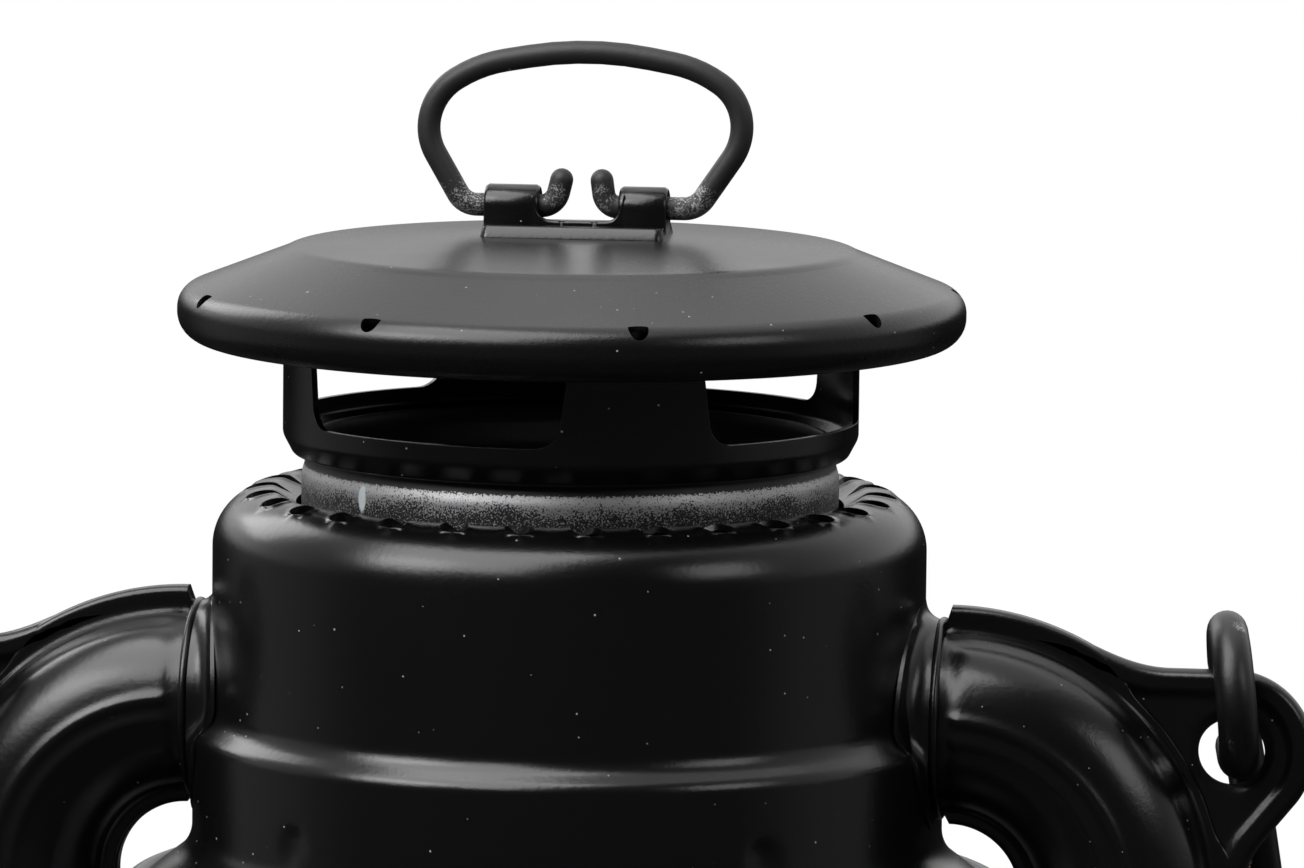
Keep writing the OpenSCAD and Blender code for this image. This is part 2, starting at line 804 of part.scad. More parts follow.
module ring_handle() {
  // The wire bends up beside the bracket, spreads to its widest and closes over the top
  outer_x = bracket_l / 2 + 1.9;
  widest_z = 0.65 * ring_h;
  top_x = 0.54 * ring_half_w;
  tail_lean = 0.4;
  half = [
    [tail_x - tail_lean, ring_tail],
    [tail_x, 0, tail_bend_r],
    [outer_x, 0, 2.2],
    [ring_half_w, widest_z, 6],
    [top_x, ring_h, 8.5]
  ];
  left = [for (p = half) [-p[0], p[1], p[2]]];
  color(dark_steel) translate([ring_shift, 0, pivot_z]) rotate([90, 0, 0])
    wire(concat(left, reversed(half)), ring_wire_r);
}

// A short and slightly thicker band joins each straight part of a side tube to its bend
band_l = 1.2;
band_swell = 0.12;

// Hood
neck_bore_r = tube_r + band_swell + 0.1;
neck_r = neck_bore_r + gauge;
neck_x = hood_r + neck_l;
skirt_r = hood_r + step_w;
hood_line = [
  [hood_mouth_r, hood_top],
  [hood_r, hood_top, hood_shoulder_r],
  [hood_r, hood_top - step_drop, 1],
  [skirt_r, hood_top - step_drop - step_w, 1],
  [skirt_r, hood_top - flare_drop, 4],
  [flare_r, hood_top - flare_drop - flare_h]
];

module across(from, to, r) {
  translate([from, 0, neck_z]) rotate([0, 90, 0]) cylinder(h = to - from, r = r);
}

module neck() {
  bead_r = 0.6;
  difference() {
    union() {
      across(hood_r - 4, neck_x, neck_r);
      translate([neck_x - bead_r, 0, neck_z]) rotate([0, 90, 0])
        rotate_extrude() translate([neck_r - bead_r / 4, 0]) circle(bead_r);
    }
    turned_solid(hood_line, -gauge / 2);
  }
}

module dimples(r) {
  for (front = [-90, 90], side = [-1, 1])
    rotate([0, 0, front + side * dimple_azimuth])
      translate([skirt_r, 0, dimple_z]) rotate([0, 90, 0]) sphere(r, $fn = 120);
}

module louvre() {
  edge_w = 0.6;
  inner_r = hood_mouth_r + edge_w;
  outer_r = inner_r + louvre_l - louvre_half_w;
  depth = hood_shoulder_r + 1;
  translate([0, 0, hood_top - depth]) linear_extrude(height = depth + past) {
    translate([outer_r, 0]) circle(louvre_half_w);
    polygon([[inner_r, 0], [outer_r, -louvre_half_w], [outer_r, louvre_half_w]]);
  }
}

module hood() {
  louvre_azimuth = -92;
  edge_r = 0.9;
  color(black_enamel) difference() {
    union() {
      turned_sheet(hood_line, -gauge);
      translate([0, 0, hood_top - flare_drop - flare_h]) rotate_extrude()
        translate([flare_r, 0]) circle(edge_r);
      neck();
      mirror([1, 0, 0]) neck();
      intersection() {
        dimples(dimple_r + gauge);
        turned_solid(hood_line, -gauge / 2);
      }
    }
    dimples(dimple_r);
    across(hood_r - 8, neck_x + past, neck_bore_r);
    mirror([1, 0, 0]) across(hood_r - 8, neck_x + past, neck_bore_r);
    around(louvre_count, louvre_azimuth) louvre();
  }
}

// Side tubes: a stub in the neck, a bend, and a leg that leans in to the tank
bend_x = neck_x - 0.6;
bend_z = neck_z - bend_r;
foot_run = [foot_x - bend_x, tank_h - bend_z];
lean = -atan2(foot_run[1], foot_run[0]) - acos(bend_r / norm(foot_run));
leg_x = bend_x + bend_r * cos(lean);
leg_z = bend_z - bend_r * sin(lean);
leg_l = (leg_z - tank_h + foot_depth) / cos(lean);
hem_end = (leg_z - tank_h - foot_collar_h - 1) / cos(lean);
stub_l = 0.8;
ear_x = bend_x + (bend_r + tube_r + ear_offset) * cos(ear_angle);
ear_z = bend_z + (bend_r + tube_r + ear_offset) * sin(ear_angle);
ear_slant = 51;
function leg_at(z) = leg_x - (leg_z - z) * tan(lean);

module leg_frame() {
  translate([leg_x, 0, leg_z]) rotate([0, lean, 0]) rotate([180, 0, 0]) children();
}

// Carries a section round the bend, where its Y axis points to the front
module bend_sweep() {
  trim = weld_gap / bend_r * 180 / PI;
  translate([bend_x, 0, bend_z]) rotate([90, 0, 0]) rotate([0, 0, trim - lean])
    rotate_extrude(angle = 90 + lean - 2 * trim) translate([bend_r, 0]) children();
}

// The front half of the tube's wall
module half_ring(swell) {
  difference() {
    circle(tube_r + swell);
    circle(tube_r - tube_gauge - swell);
    translate([-2 * tube_r, -4 * tube_r]) square([4 * tube_r, 4 * tube_r]);
  }
}

module hem_section(swell) {
  root = tube_r - tube_gauge / 2;
  translate([root, 0]) square([tube_gauge / 2 + hem_w + swell, hem_t + swell]);
  translate([-tube_r - inner_hem_w - swell, 0]) square([tube_gauge / 2 + inner_hem_w + swell, hem_t + swell]);
}

// The ear's plate, as seen from the front, with its edge moved in by inset
module ear_face(inset) {
  r = ear_r - inset;
  low = [ear_x + r * sin(ear_slant), ear_z - r * cos(ear_slant)];
  run = (low[0] - leg_x - tube_r + 1.2) / cos(ear_slant);
  hem_r = bend_r + tube_r + hem_w / 2;
  rise = ear_z + r - bend_z;
  translate([ear_x, ear_z]) circle(r);
  polygon([
    [ear_x, ear_z + r],
    [bend_x + sqrt(hem_r * hem_r - rise * rise), ear_z + r],
    [bend_x + bend_r * cos(ear_angle), bend_z + bend_r * sin(ear_angle)],
    low - run * [cos(ear_slant), sin(ear_slant)],
    low
  ]);
}

module front_plate(from, to) {
  translate([0, -from, 0]) rotate([90, 0, 0]) linear_extrude(height = to - from) children();
}

module half_tube() {
  web_t = 0.7;
  inner_r = tube_r - tube_gauge;
  bend_sweep() half_ring(0);
  leg_frame() translate([0, 0, weld_gap]) linear_extrude(height = leg_l - weld_gap) half_ring(0);
  leg_frame() translate([0, 0, -band_l / 2]) linear_extrude(height = band_l) half_ring(band_swell);
  translate([bend_x - stub_l, 0, neck_z]) rotate([0, 90, 0])
    linear_extrude(height = stub_l + band_l / 2) mirror([0, 1]) half_ring(band_swell);
  difference() {
    union() {
      bend_sweep() hem_section(0);
      leg_frame() translate([0, 0, weld_gap]) linear_extrude(height = hem_end - weld_gap) hem_section(0);
      leg_frame() translate([0, 0, -band_l / 2]) linear_extrude(height = band_l) hem_section(band_swell);
      front_plate(0, hem_t) ear_face(0);
    }
    front_plate(web_t, hem_t + past) ear_face(hem_w);
    front_plate(-past, hem_t + past) translate([ear_x, ear_z]) circle(ear_hole_r);
    bend_sweep() circle(inner_r);
    leg_frame() cylinder(h = leg_l, r = inner_r);
    translate([0, -tube_r, bend_z]) cube([neck_x + moving_gap, 2 * tube_r, 3 * bend_r]);
  }
}

module right_tube_front() {
  color(black_enamel) half_tube();
}

module right_tube_rear() {
  color(black_enamel) mirror([0, 1, 0]) half_tube();
}

module left_tube_front() {
  color(black_enamel) mirror([1, 0, 0]) half_tube();
}

module left_tube_rear() {
  color(black_enamel) mirror([1, 0, 0]) mirror([0, 1, 0]) half_tube();
}

module foot_collar() {
  start = (leg_z - tank_h - foot_collar_h) / cos(lean);
  difference() {
    leg_frame() tube(tube_r + seat_gap + foot_collar_wall, tube_r + seat_gap, start, 12);
    turned_solid(tank_line, seat_gap);
  }
}

module right_tube_collar() {
  color(black_enamel) foot_collar();
}

module left_tube_collar() {
  color(black_enamel) mirror([1, 0, 0]) foot_collar();
}

// Bail: two hooks through the ears, two flared arms and a round bow, in a plane that hangs behind
hook_z = ear_z + hook_r - (ear_hole_r - bail_wire_r) / 2;
hook_turn = 275;
bow_r = (ear_x + bail_arm * sin(bail_flare)) / cos(bail_flare);
bow_y = bail_arm * cos(bail_flare) + bow_r * sin(bail_flare);
module bail_handle() {
  hook_trim = weld_gap / hook_r * 180 / PI;
  bow_trim = weld_gap / bow_r * 180 / PI;
  bow_end = [bow_r * cos(bail_flare), bail_arm * cos(bail_flare)];
  color(dark_steel) translate([0, 0, hook_z]) {
    for (side = [-1, 1])
      translate([side * ear_x, 0, 0]) rotate([90, 0, 90]) rotate([0, 0, bail_lean + hook_trim])
        rotate_extrude(angle = hook_turn) translate([hook_r, 0]) circle(bail_wire_r);
    rotate([bail_lean - 90, 0, 0]) translate([0, 0, hook_r]) {
      for (side = [0, 1]) mirror([side, 0, 0]) {
        translate([ear_x, 0, 0]) sphere(weld_swell * bail_wire_r);
        translate([bow_end[0], bow_end[1], 0]) sphere(weld_swell * bail_wire_r);
        translate([ear_x, 0, 0]) rotate([0, 0, 90 - bail_flare])
          rod([weld_gap, 0], [bail_arm - weld_gap, 0], bail_wire_r);
      }
      translate([0, bow_y, 0]) rotate([0, 0, bow_trim - bail_flare])
        rotate_extrude(angle = 180 + 2 * bail_flare - 2 * bow_trim) translate([bow_r, 0]) circle(bail_wire_r);
    }
  }
}

// Guard: two wires that cross in front of the globe and two behind, welded to the tubes
guard_half = leg_at(guard_z) / cos(guard_slant);
guard_end = tube_r + 0.6 * guard_wire_r;
guard_apex = globe_belly_r + guard_gap + guard_wire_r;
module guard_wire(slant, apex) {
  sag = apex - guard_end;
  r = (guard_half * guard_half + sag * sag) / (2 * sag);
  half_turn = 2 * atan(sag / guard_half);
  translate([0, 0, guard_z]) rotate([0, slant, 0]) translate([0, r - apex, 0])
    rotate([0, 0, -90 - half_turn]) rotate_extrude(angle = 2 * half_turn)
      translate([r, 0]) circle(guard_wire_r);
}

module crossed_wires() {
  guard_wire(-guard_slant, guard_apex);
  guard_wire(guard_slant, guard_apex + 2 * guard_wire_r + seat_gap);
}

module front_guard() {
  color(black_enamel) crossed_wires();
}

module rear_guard() {
  color(black_enamel) mirror([0, 1, 0]) crossed_wires();
}

// Lever on the right tube: its inner tips lift the globe plate
tip_reach = 2;
lever_z = plate_z - moving_gap - lever_wire_r - tip_reach * tan(lever_tilt) + lever_inner * sin(lever_tilt);
lever_x = leg_at(lever_z);
eye_wall = 1.6;
eye_r = lever_pin_r + pin_clearance + eye_wall;
lug_r = 4;
lug_rise = 1.8;
lug_y = tube_r + lug_rise;
eye_swell = 0.2;
eye_half_t = lever_wire_r + eye_swell;
lever_y = lug_y + moving_gap + eye_half_t;

module lever_pivot() {
  translate([lever_x, 0, lever_z]) rotate([90, 0, 0]) children();
}

// A cylinder along the lever's pivot, from one distance in front of the tube to another
module on_pivot(from, to, r) {
  lever_pivot() translate([0, 0, from]) cylinder(h = to - from, r = r);
}

module both_sides() {
  children();
  mirror([0, 1, 0]) children();
}

module lever_lugs() {
  color(black_enamel) both_sides() difference() {
    on_pivot(tube_r - lug_r, lug_y, lug_r);
    on_pivot(0, lug_y + past, lever_pin_r + seat_gap);
    leg_frame() cylinder(h = leg_l, r = tube_r + seat_gap);
  }
}

module lever_rivets() {
  head_t = 1;
  head_z = lever_y + eye_half_t + moving_gap;
  color(bare_steel) both_sides() {
    on_pivot(tube_r + 2 * seat_gap, head_z, lever_pin_r);
    on_pivot(head_z, head_z + head_t, eye_r);
  }
}

module lift_lever() {
  corner_r = 4;
  eye_edge = lever_pin_r + pin_clearance + 0.5;
  color(dark_steel) difference() {
    translate([lever_x, 0, lever_z]) rotate([0, -lever_tilt, 0]) {
      wire([
        [eye_edge, -lever_y],
        [lever_outer - lever_wire_r, -lever_y, corner_r],
        [lever_outer - lever_wire_r, lever_y, corner_r],
        [eye_edge, lever_y]
      ], lever_wire_r);
      for (side = [-1, 1]) {
        rod([-lever_inner, side * lever_y], [-eye_edge, side * lever_y], lever_wire_r);
        translate([0, side * lever_y, 0]) rotate([90, 0, 0])
          cylinder(h = 2 * eye_half_t, r = eye_r, center = true);
      }
    }
    both_sides() on_pivot(0, lever_y + 2 * eye_r, lever_pin_r + pin_clearance);
  }
}

tank_shell();
base_pan();
air_pan();
burner_collar();
burner_base();
burner_basket();
burner_drum();
wick_tube();
burner_cone();
filler_neck();
filler_gasket();
filler_cap();
wick();
wick_shaft();
wick_wheels();
wick_knob();
globe_plate();
globe();
chimney_sleeve();
chimney_stop_ring();
chimney_crown();
cap();
ring_bracket();
ring_handle();
hood();
left_tube_front();
left_tube_rear();
right_tube_front();
right_tube_rear();
left_tube_collar();
right_tube_collar();
bail_handle();
front_guard();
rear_guard();
lever_lugs();
lever_rivets();
lift_lever();
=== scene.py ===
"""Hurricane lantern: the finish of its pressed sheet, wire, glass and burner pieces, and a white studio."""

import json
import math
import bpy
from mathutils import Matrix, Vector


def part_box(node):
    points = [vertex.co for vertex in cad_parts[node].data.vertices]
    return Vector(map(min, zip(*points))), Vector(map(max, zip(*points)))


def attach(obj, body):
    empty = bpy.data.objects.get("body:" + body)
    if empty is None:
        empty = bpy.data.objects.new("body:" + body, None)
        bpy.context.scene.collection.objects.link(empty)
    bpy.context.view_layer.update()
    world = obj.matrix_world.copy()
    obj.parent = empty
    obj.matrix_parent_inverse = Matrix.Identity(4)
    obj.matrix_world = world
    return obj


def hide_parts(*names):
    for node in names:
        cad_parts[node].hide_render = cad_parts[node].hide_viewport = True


bl_info = {
    "name": "Hurricane Lantern",
    "version": (1, 0, 0),
    "blender": (4, 5, 0),
    "location": "View3D > Sidebar > Lantern",
    "description": "Dresses a hurricane lantern with pressed sheet, bent wire, glass and enamel",
    "category": "Object",
}

import bmesh
import bpy
import numpy as np
from bpy.props import FloatProperty, FloatVectorProperty, IntProperty, PointerProperty
from mathutils import Matrix, Vector

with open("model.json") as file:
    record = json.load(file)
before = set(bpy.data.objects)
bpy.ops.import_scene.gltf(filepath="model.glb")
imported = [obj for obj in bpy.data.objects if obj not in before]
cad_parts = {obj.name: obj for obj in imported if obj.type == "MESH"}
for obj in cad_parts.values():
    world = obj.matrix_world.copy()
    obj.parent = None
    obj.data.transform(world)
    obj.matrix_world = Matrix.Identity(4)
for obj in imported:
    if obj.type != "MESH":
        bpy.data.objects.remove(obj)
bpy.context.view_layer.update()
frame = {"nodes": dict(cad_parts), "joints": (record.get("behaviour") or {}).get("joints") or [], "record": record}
MM = 0.001
# A turned line that meets the axis ends at this radius, because slot angles are divided by it
AXIS_R = 1e-7
WHITE = (1.0, 1.0, 1.0, 1.0)
LOOKS = {}


def low(node):
    """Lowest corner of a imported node."""
    return np.array(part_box(node)[0])


def high(node):
    """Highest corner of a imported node."""
    return np.array(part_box(node)[1])


def joint(name):
    """The record of one joint."""
    return next(j for j in frame["joints"] if j["name"] == name)


def amount(name, default, text, **options):
    """A number that a user can change, with a text that says what it is."""
    return FloatProperty(name=name, description=text, default=float(default), precision=5, **options)


def length(name, default, text):
    """A size in metres that a user can change."""
    return amount(name, default, text, unit="LENGTH")


def degrees(name, default, text):
    """An angle that a user can change, given in degrees."""
    return amount(name, math.radians(default), text, subtype="ANGLE")


def fraction(name, default, text):
    """A number from 0 to 1 that a user can change."""
    return amount(name, default, text, subtype="FACTOR", min=0.0, max=1.0)


def watts(name, default, text):
    """A lamp's power that a user can change."""
    return amount(name, default, text, unit="POWER")


def whole(name, default, text):
    """A whole number that a user can change."""
    return IntProperty(name=name, description=text, default=default)


def tint(name, default, text):
    """A linear colour that a user can change."""
    limits = {"size": 3, "subtype": "COLOR", "min": 0.0, "max": 1.0}
    return FloatVectorProperty(name=name, description=text, default=default, **limits)


class ChimneySizes(bpy.types.PropertyGroup):
    """Sizes of the cap, the crown and the sleeve."""

    gauge: length("Sheet", 0.6 * MM, "Thickness of the pressed sheet")
    cap_r: length("Cap radius", high("cap")[0], "Radius of the cap's rolled rim")
    cap_top: length("Cap top", high("cap")[2], "Height of the cap's flat top")
    cap_foot: length("Cap foot", low("cap")[2], "Height of the cap's lower edge")
    disc_r: length("Cap disc radius", 27.5 * MM, "Radius of the raised disc on the cap")
    disc_drop: length("Disc drop", 1.6 * MM, "Drop of the disc's edge below the cap's top")
    rim_rise: length("Rim rise", 4.7 * MM, "Height of the rim's upper bend over the cap's foot")
    rim_hem: length("Rim hem", 3.5 * MM, "Distance of the rim's inner hem from its outside")
    notch_count: whole("Drain notches", 9, "Drain notches round the cap's rim")
    notch_turn: degrees("First notch", -72.9, "Direction of the first drain notch from +X")
    notch_half: length("Notch half width", 0.95 * MM, "Half width of a drain notch")
    notch_l: length("Notch length", 1.75 * MM, "Length of a drain notch down the rim")
    crown_r: length("Crown radius", high("chimney_crown")[0], "Outer radius of the windowed crown")
    crown_foot: length("Crown foot", low("chimney_crown")[2], "Height of the crown's lower edge")
    crown_top: length("Crown top", high("chimney_crown")[2], "Height of the crown's upper edge")
    sill_rise: length("Sill rise", 4.1 * MM, "Height of the window sills over the crown's foot")
    window_rise: length("Window height", 11.0 * MM, "Height of the crown's windows")
    window_half: length("Window half width", 13.4 * MM, "Half width of a window along a straight line")
    window_corner: length("Window corner", 2.2 * MM, "Radius of the windows' lower corners")
    upper_corner: length("Upper window corner", 1.0 * MM, "Radius of the windows' upper corners")
    window_spread: length("Window spread", 1.2 * MM, "Widening of a half window from its sill to its top")
    post_turn: degrees("First post", -69.5, "Direction of the first crown post from +X")
    sleeve_r: length("Sleeve radius", 25.5 * MM, "Outer radius of the sleeve")
    sleeve_taper: length("Sleeve taper", 0.7 * MM, "Narrowing of the sleeve in the crown")
    sleeve_top: length("Sleeve top", high("chimney_sleeve")[2], "Height of the sleeve's upper edge")
    sleeve_foot: length("Sleeve foot", low("chimney_sleeve")[2], "Height of the sleeve's flared lip")
    lip_r: length("Sleeve lip radius", high("chimney_sleeve")[0], "Radius of the lip that holds the globe")


class HoodSizes(bpy.types.PropertyGroup):
    """Sizes of the hood with its louvres and necks."""

    top: length("Hood top", high("hood")[2], "Height of the hood's upper edge")
    mouth_r: length("Mouth radius", 26.0 * MM, "Radius of the opening for the sleeve")
    wall_r: length("Wall radius", 33.9 * MM, "Radius of the hood's wall")
    shoulder_r: length("Shoulder", 5.4 * MM, "Radius of the hood's shoulder")
    crest_r: length("Crest radius", 28.2 * MM, "Radius of the crest round the hood's mouth")
    crest_rise: length("Crest rise", 0.9 * MM, "Height of the crest over the hood's upper edge")
    step_drop: length("Step drop", 20.5 * MM, "Height from the step to the hood's top")
    step_w: length("Step width", 1.8 * MM, "Width of the step")
    flare_drop: length("Flare drop", 33.0 * MM, "Height from the flare to the hood's top")
    edge_r: length("Edge roll", 0.9 * MM, "Radius of the rolled lower edge")
    louvre_count: whole("Louvres", 30, "Louvre slots round the shoulder")
    louvre_turn: degrees("First louvre", -92.0, "Direction of the first louvre slot from +X")
    louvre_half: length("Louvre half width", 1.4 * MM, "Half width of a louvre slot")
    lip_rise: length("Louvre lip", 0.16 * MM, "Height of the raised lip round a louvre slot")
    lip_w: length("Louvre lip width", 0.55 * MM, "Width of the raised lip round a louvre slot")
    louvre_l: length("Louvre length", 4.6 * MM, "Length of a louvre slot along the shoulder")
    louvre_skew: length("Louvre skew", 1.1 * MM, "Sideways lean of a slot's outer end")
    neck_drop: length("Neck drop", 20.0 * MM, "Height from the necks' axis to the hood's top")
    neck_r: length("Neck radius", 9.32 * MM, "Outer radius of the necks")
    neck_end: length("Neck end", 36.1 * MM, "Distance of the necks' edges from the lantern's axis")
    dimple_drop: length("Dimple drop", 29.4 * MM, "Height from the stop dimples to the hood's top")
    dimple_r: length("Dimple radius", 2.6 * MM, "Radius of the stop dimples")
    dimple_depth: length("Dimple depth", 0.364 * MM, "Depth of the stop dimples")
    dimple_turn: degrees("Dimple turn", 38.0, "Angle of the dimples from the front and the back")


class TubeSizes(bpy.types.PropertyGroup):
    """Sizes of the side tubes with their hems and ears."""

    tube_r: length("Tube radius", 8.5 * MM, "Outer radius of the side tubes")
    wall: length("Tube wall", 0.8 * MM, "Thickness of the side tubes' sheet")
    bend_r: length("Bend radius", 16.7 * MM, "Radius of the upper bend")
    bend_x: length("Bend centre", 36.6 * MM, "Distance of the bend's centre from the lantern's axis")
    lean: degrees("Leg lean", 4.01668, "Lean of the legs from the vertical")
    hem_w: length("Outer hem", 2.3 * MM, "Width of the hem on the outer seam")
    inner_hem_w: length("Inner hem", 1.5 * MM, "Width of the hem on the inner seam")
    hem_t: length("Hem thickness", 1.2 * MM, "Thickness of each half's hem")
    hem_foot: length("Hem foot", 51.0 * MM, "Height at which the hems end above the tank")
    rib_rise: length("Rib", 0.28 * MM, "Height of the two pressed ribs along the tubes")
    groove_depth: length("Hem groove", 0.24 * MM, "Depth of the groove beside the outer hem")
    neck_groove: length("Neck groove", 0.12 * MM, "Depth of the groove beside the hood's neck")
    ear_angle: degrees("Ear direction", 28.3, "Direction of the ears from the bends' centres")
    ear_offset: length("Ear offset", 5.0 * MM, "Distance of the ear holes from the tubes")
    ear_r: length("Ear radius", 7.8 * MM, "Radius of the ears")
    ear_hole_r: length("Ear hole", 3.15 * MM, "Radius of the ear holes")
    ear_slant: degrees("Ear slant", 51.0, "Slant of the ears' lower edges")
    web_t: length("Ear web", 0.7 * MM, "Thickness of each half of the ears' web")


class WireSizes(bpy.types.PropertyGroup):
    """Sizes of the ring, the bail and the guards."""

    ring_r: length("Ring wire", 1.1 * MM, "Radius of the ring's wire")
    ring_half: length("Ring half width", 16.8 * MM, "Half width of the ring at its bends")
    ring_rise: length("Ring rise", 14.6 * MM, "Height of the ring over its pivot")
    ring_shift: length("Ring shift", 0.7 * MM, "Sideways place of the ring in its bracket")
    ring_lean: degrees("Ring lean", 3.0, "Sideways lean of the ring")
    tail_x: length("Tail place", 2.4 * MM, "Distance of the ring's tails from its middle")
    tail_rise: length("Tail rise", 2.5 * MM, "Height of the ring's tails over its pivot")
    ring_gap: length("Ring gap", 2.4 * MM, "Distance of the ring's lower bends from its bracket")
    knuckle_gap: length("Knuckle gap", 1.4 * MM, "Distance of the bracket's knuckles from the ring's tails")
    bracket_half: length("Bracket half length", high("ring_bracket")[0], "Half length of the bracket's plate")
    bracket_shift: length("Bracket shift", 0.4 * MM, "Sideways place of the bracket on the cap")
    bracket_depth: length("Bracket half depth", high("ring_bracket")[1], "Half depth of the bracket's plate")
    bracket_t: length("Bracket plate", 1.4 * MM, "Height of the edge of the bracket's plate")
    knuckle_r: length("Knuckle radius", 2.0 * MM, "Outer radius of the bracket's knuckles")
    bail_r: length("Bail wire", 1.9 * MM, "Radius of the bail's wire")
    hook_r: length("Bail hook", 6.05 * MM, "Radius of the bail's hooks")
    hook_toe: degrees("Hook toe", 7.0, "Turn of the hooks' open ends away from the lantern")
    hook_turn: degrees("Hook turn", 275.0, "Turn of the bail's hooks")
    hook_lean: degrees("Hook lean", 5.5, "Lean of the hooks towards the lantern")
    bail_lean: degrees("Bail lean", 24.0, "Lean of the hanging bail from the vertical")
    bail_flare: degrees("Bail flare", 5.5, "Outward flare of the bail's arms")
    bail_arm: length("Bail arm", 30.0 * MM, "Length of the bail's straight arms")
    guard_r: length("Guard wire", 1.0 * MM, "Radius of the guard's wire")
    guard_slant: degrees("Guard slant", 30.0, "Slant of the guard's wires")
    guard_half: length("Guard half length", 56.54 * MM, "Half length of a guard wire between its ends")


class BaseSizes(bpy.types.PropertyGroup):
    """Sizes of the tank, the base and the globe."""

    mouth_r: length("Air mouth", 22.5 * MM, "Radius of the air mouth in the tank's top")
    slope_w: length("Slope width", 17.0 * MM, "Width of the sloping part of the tank's top")
    plate_drop: length("Plate drop", 1.5 * MM, "Drop of the tank's top from its mouth to the slope")
    shoulder_drop: length("Shoulder drop", 5.0 * MM, "Drop of the tank's shoulder below its mouth")
    seam_z: length("Seam height", 28.5 * MM, "Height of the seam round the tank")
    seam_step: length("Seam step", 1.2 * MM, "Step of the wall above the seam")
    floor_lift: length("Floor lift", 4.5 * MM, "Height of the base floor over the foot ring")
    foot_ring_w: length("Foot ring", 7.5 * MM, "Width of the foot ring")
    rim_h: length("Base rim", 6.0 * MM, "Height of the base's rim round the tank")
    globe_foot_r: length("Globe foot", 28.5 * MM, "Outer radius of the globe's foot")
    globe_belly_r: length("Globe belly", 36.8 * MM, "Outer radius of the globe's belly")
    globe_top_r: length("Globe top", 26.4 * MM, "Outer radius of the globe's top")
    globe_wall: length("Glass", 2.0 * MM, "Thickness of the glass")


class LanternFinish(bpy.types.PropertyGroup):
    """Colours and gloss of the finishes."""

    enamel: tint("Enamel", (0.0026, 0.0025, 0.0028), "Colour of the black enamel")
    enamel_rough: fraction("Enamel roughness", 0.23, "Roughness of the satin enamel")
    dust: tint("Dust", (0.55, 0.55, 0.56), "Colour of the dust specks")
    steel: tint("Steel", (0.66, 0.66, 0.67), "Colour of bare steel")
    brass: tint("Brass", (0.60, 0.42, 0.17), "Colour of the burner's brass")
    cotton: tint("Cotton", (0.74, 0.68, 0.55), "Colour of the wick")
    char: tint("Char", (0.02, 0.017, 0.015), "Colour of the wick's burnt edge")
    rubber: tint("Rubber", (0.03, 0.027, 0.025), "Colour of the filler's gasket")
    glass: tint("Glass", (0.97, 0.99, 0.985), "Tint of the globe")


class LanternStage(bpy.types.PropertyGroup):
    """Camera, floor and light."""

    azimuth: degrees("Camera azimuth", 7.0, "Turn of the camera to the lantern's right")
    elevation: degrees("Camera elevation", 6.8, "Height of the camera over the horizon")
    distance: length("Camera distance", 0.9, "Distance of the camera from its aim")
    lens: amount("Lens", 262.0, "Focal length on a 36 mm sensor", unit="CAMERA")
    roll: degrees("Camera roll", 0.6, "Clockwise roll of the picture")
    aim_right: length("Aim right", 7.7 * MM, "Sideways distance of the aim from the lantern's axis")
    aim_z: length("Aim height", 227.3 * MM, "Height of the aim")
    floor_r: length("Floor radius", 0.6, "Radius of the pale floor")
    pale_sky: fraction("Pale sky", 0.5, "Light from behind and beside the lantern")
    dark_sky: fraction("Dark sky", 0.03, "Light from the side of the camera")
    key_power: watts("Key softbox", 8.8, "Power of the softbox on the upper left")
    top_power: watts("Top softbox", 1.8, "Power of the softbox overhead")
    left_power: watts("Left softbox", 2.0, "Power of the left softbox")
    rim_power: watts("Rim softbox", 2.4, "Power of the softbox behind on the left")
    right_power: watts("Right softbox", 0.9, "Power of the right softbox")


def unit(v):
    """A vector, or rows of vectors, brought to length 1."""
    v = np.asarray(v, float)
    return v / np.linalg.norm(v, axis=-1, keepdims=True)


def smooth(edge_a, edge_b, x):
    """0 before edge_a, 1 after edge_b, with an S-curve 3t² - 2t³ between them."""
    t = np.clip((x - edge_a) / (edge_b - edge_a), 0.0, 1.0)
    return t * t * (3.0 - 2.0 * t)


def bell(x, middle, width):
    """A bell curve exp(-t²) of height 1, where t is the distance from the middle in widths."""
    return np.exp(-((x - middle) / width) ** 2)


def bent_line(points, step=math.radians(5.0)):
    """Straight runs through the points, where a point (x, y, r) is rounded by an arc of radius r that
    touches both runs: its centre lies r / sin(half angle) from the point, on the line that halves the
    angle."""
    parts = [np.array([points[0][:2]], float)]
    for before, here, after in zip(points[:-2], points[1:-1], points[2:]):
        corner = np.array(here[:2], float)
        if len(here) < 3 or here[2] == 0.0:
            parts.append(corner[None])
            continue
        u = unit(np.array(before[:2]) - corner)
        v = unit(np.array(after[:2]) - corner)
        half = math.acos(np.clip(u @ v, -1.0, 1.0)) / 2
        centre = corner + unit(u + v) * here[2] / math.sin(half)
        start = corner + u * here[2] / math.tan(half) - centre
        turn = (math.pi - 2 * half) * np.sign(start[0] * (v - u)[1] - start[1] * (v - u)[0])
        angles = np.linspace(0.0, turn, max(3, math.ceil(abs(turn) / step) + 1))
        square = np.array([-start[1], start[0]])
        parts.append(centre + compass(angles) @ np.array([start, square]))
    parts.append(np.array([points[-1][:2]], float))
    return np.concatenate(parts)


def finer(line, gap):
    """The same line with extra points, so that no two neighbours are further apart than gap."""
    parts = [line[:1]]
    for a, b in zip(line[:-1], line[1:]):
        count = max(1, math.ceil(np.linalg.norm(b - a) / gap))
        parts.append(a + (b - a) * (np.arange(1, count + 1) / count)[:, None])
    return np.concatenate(parts)


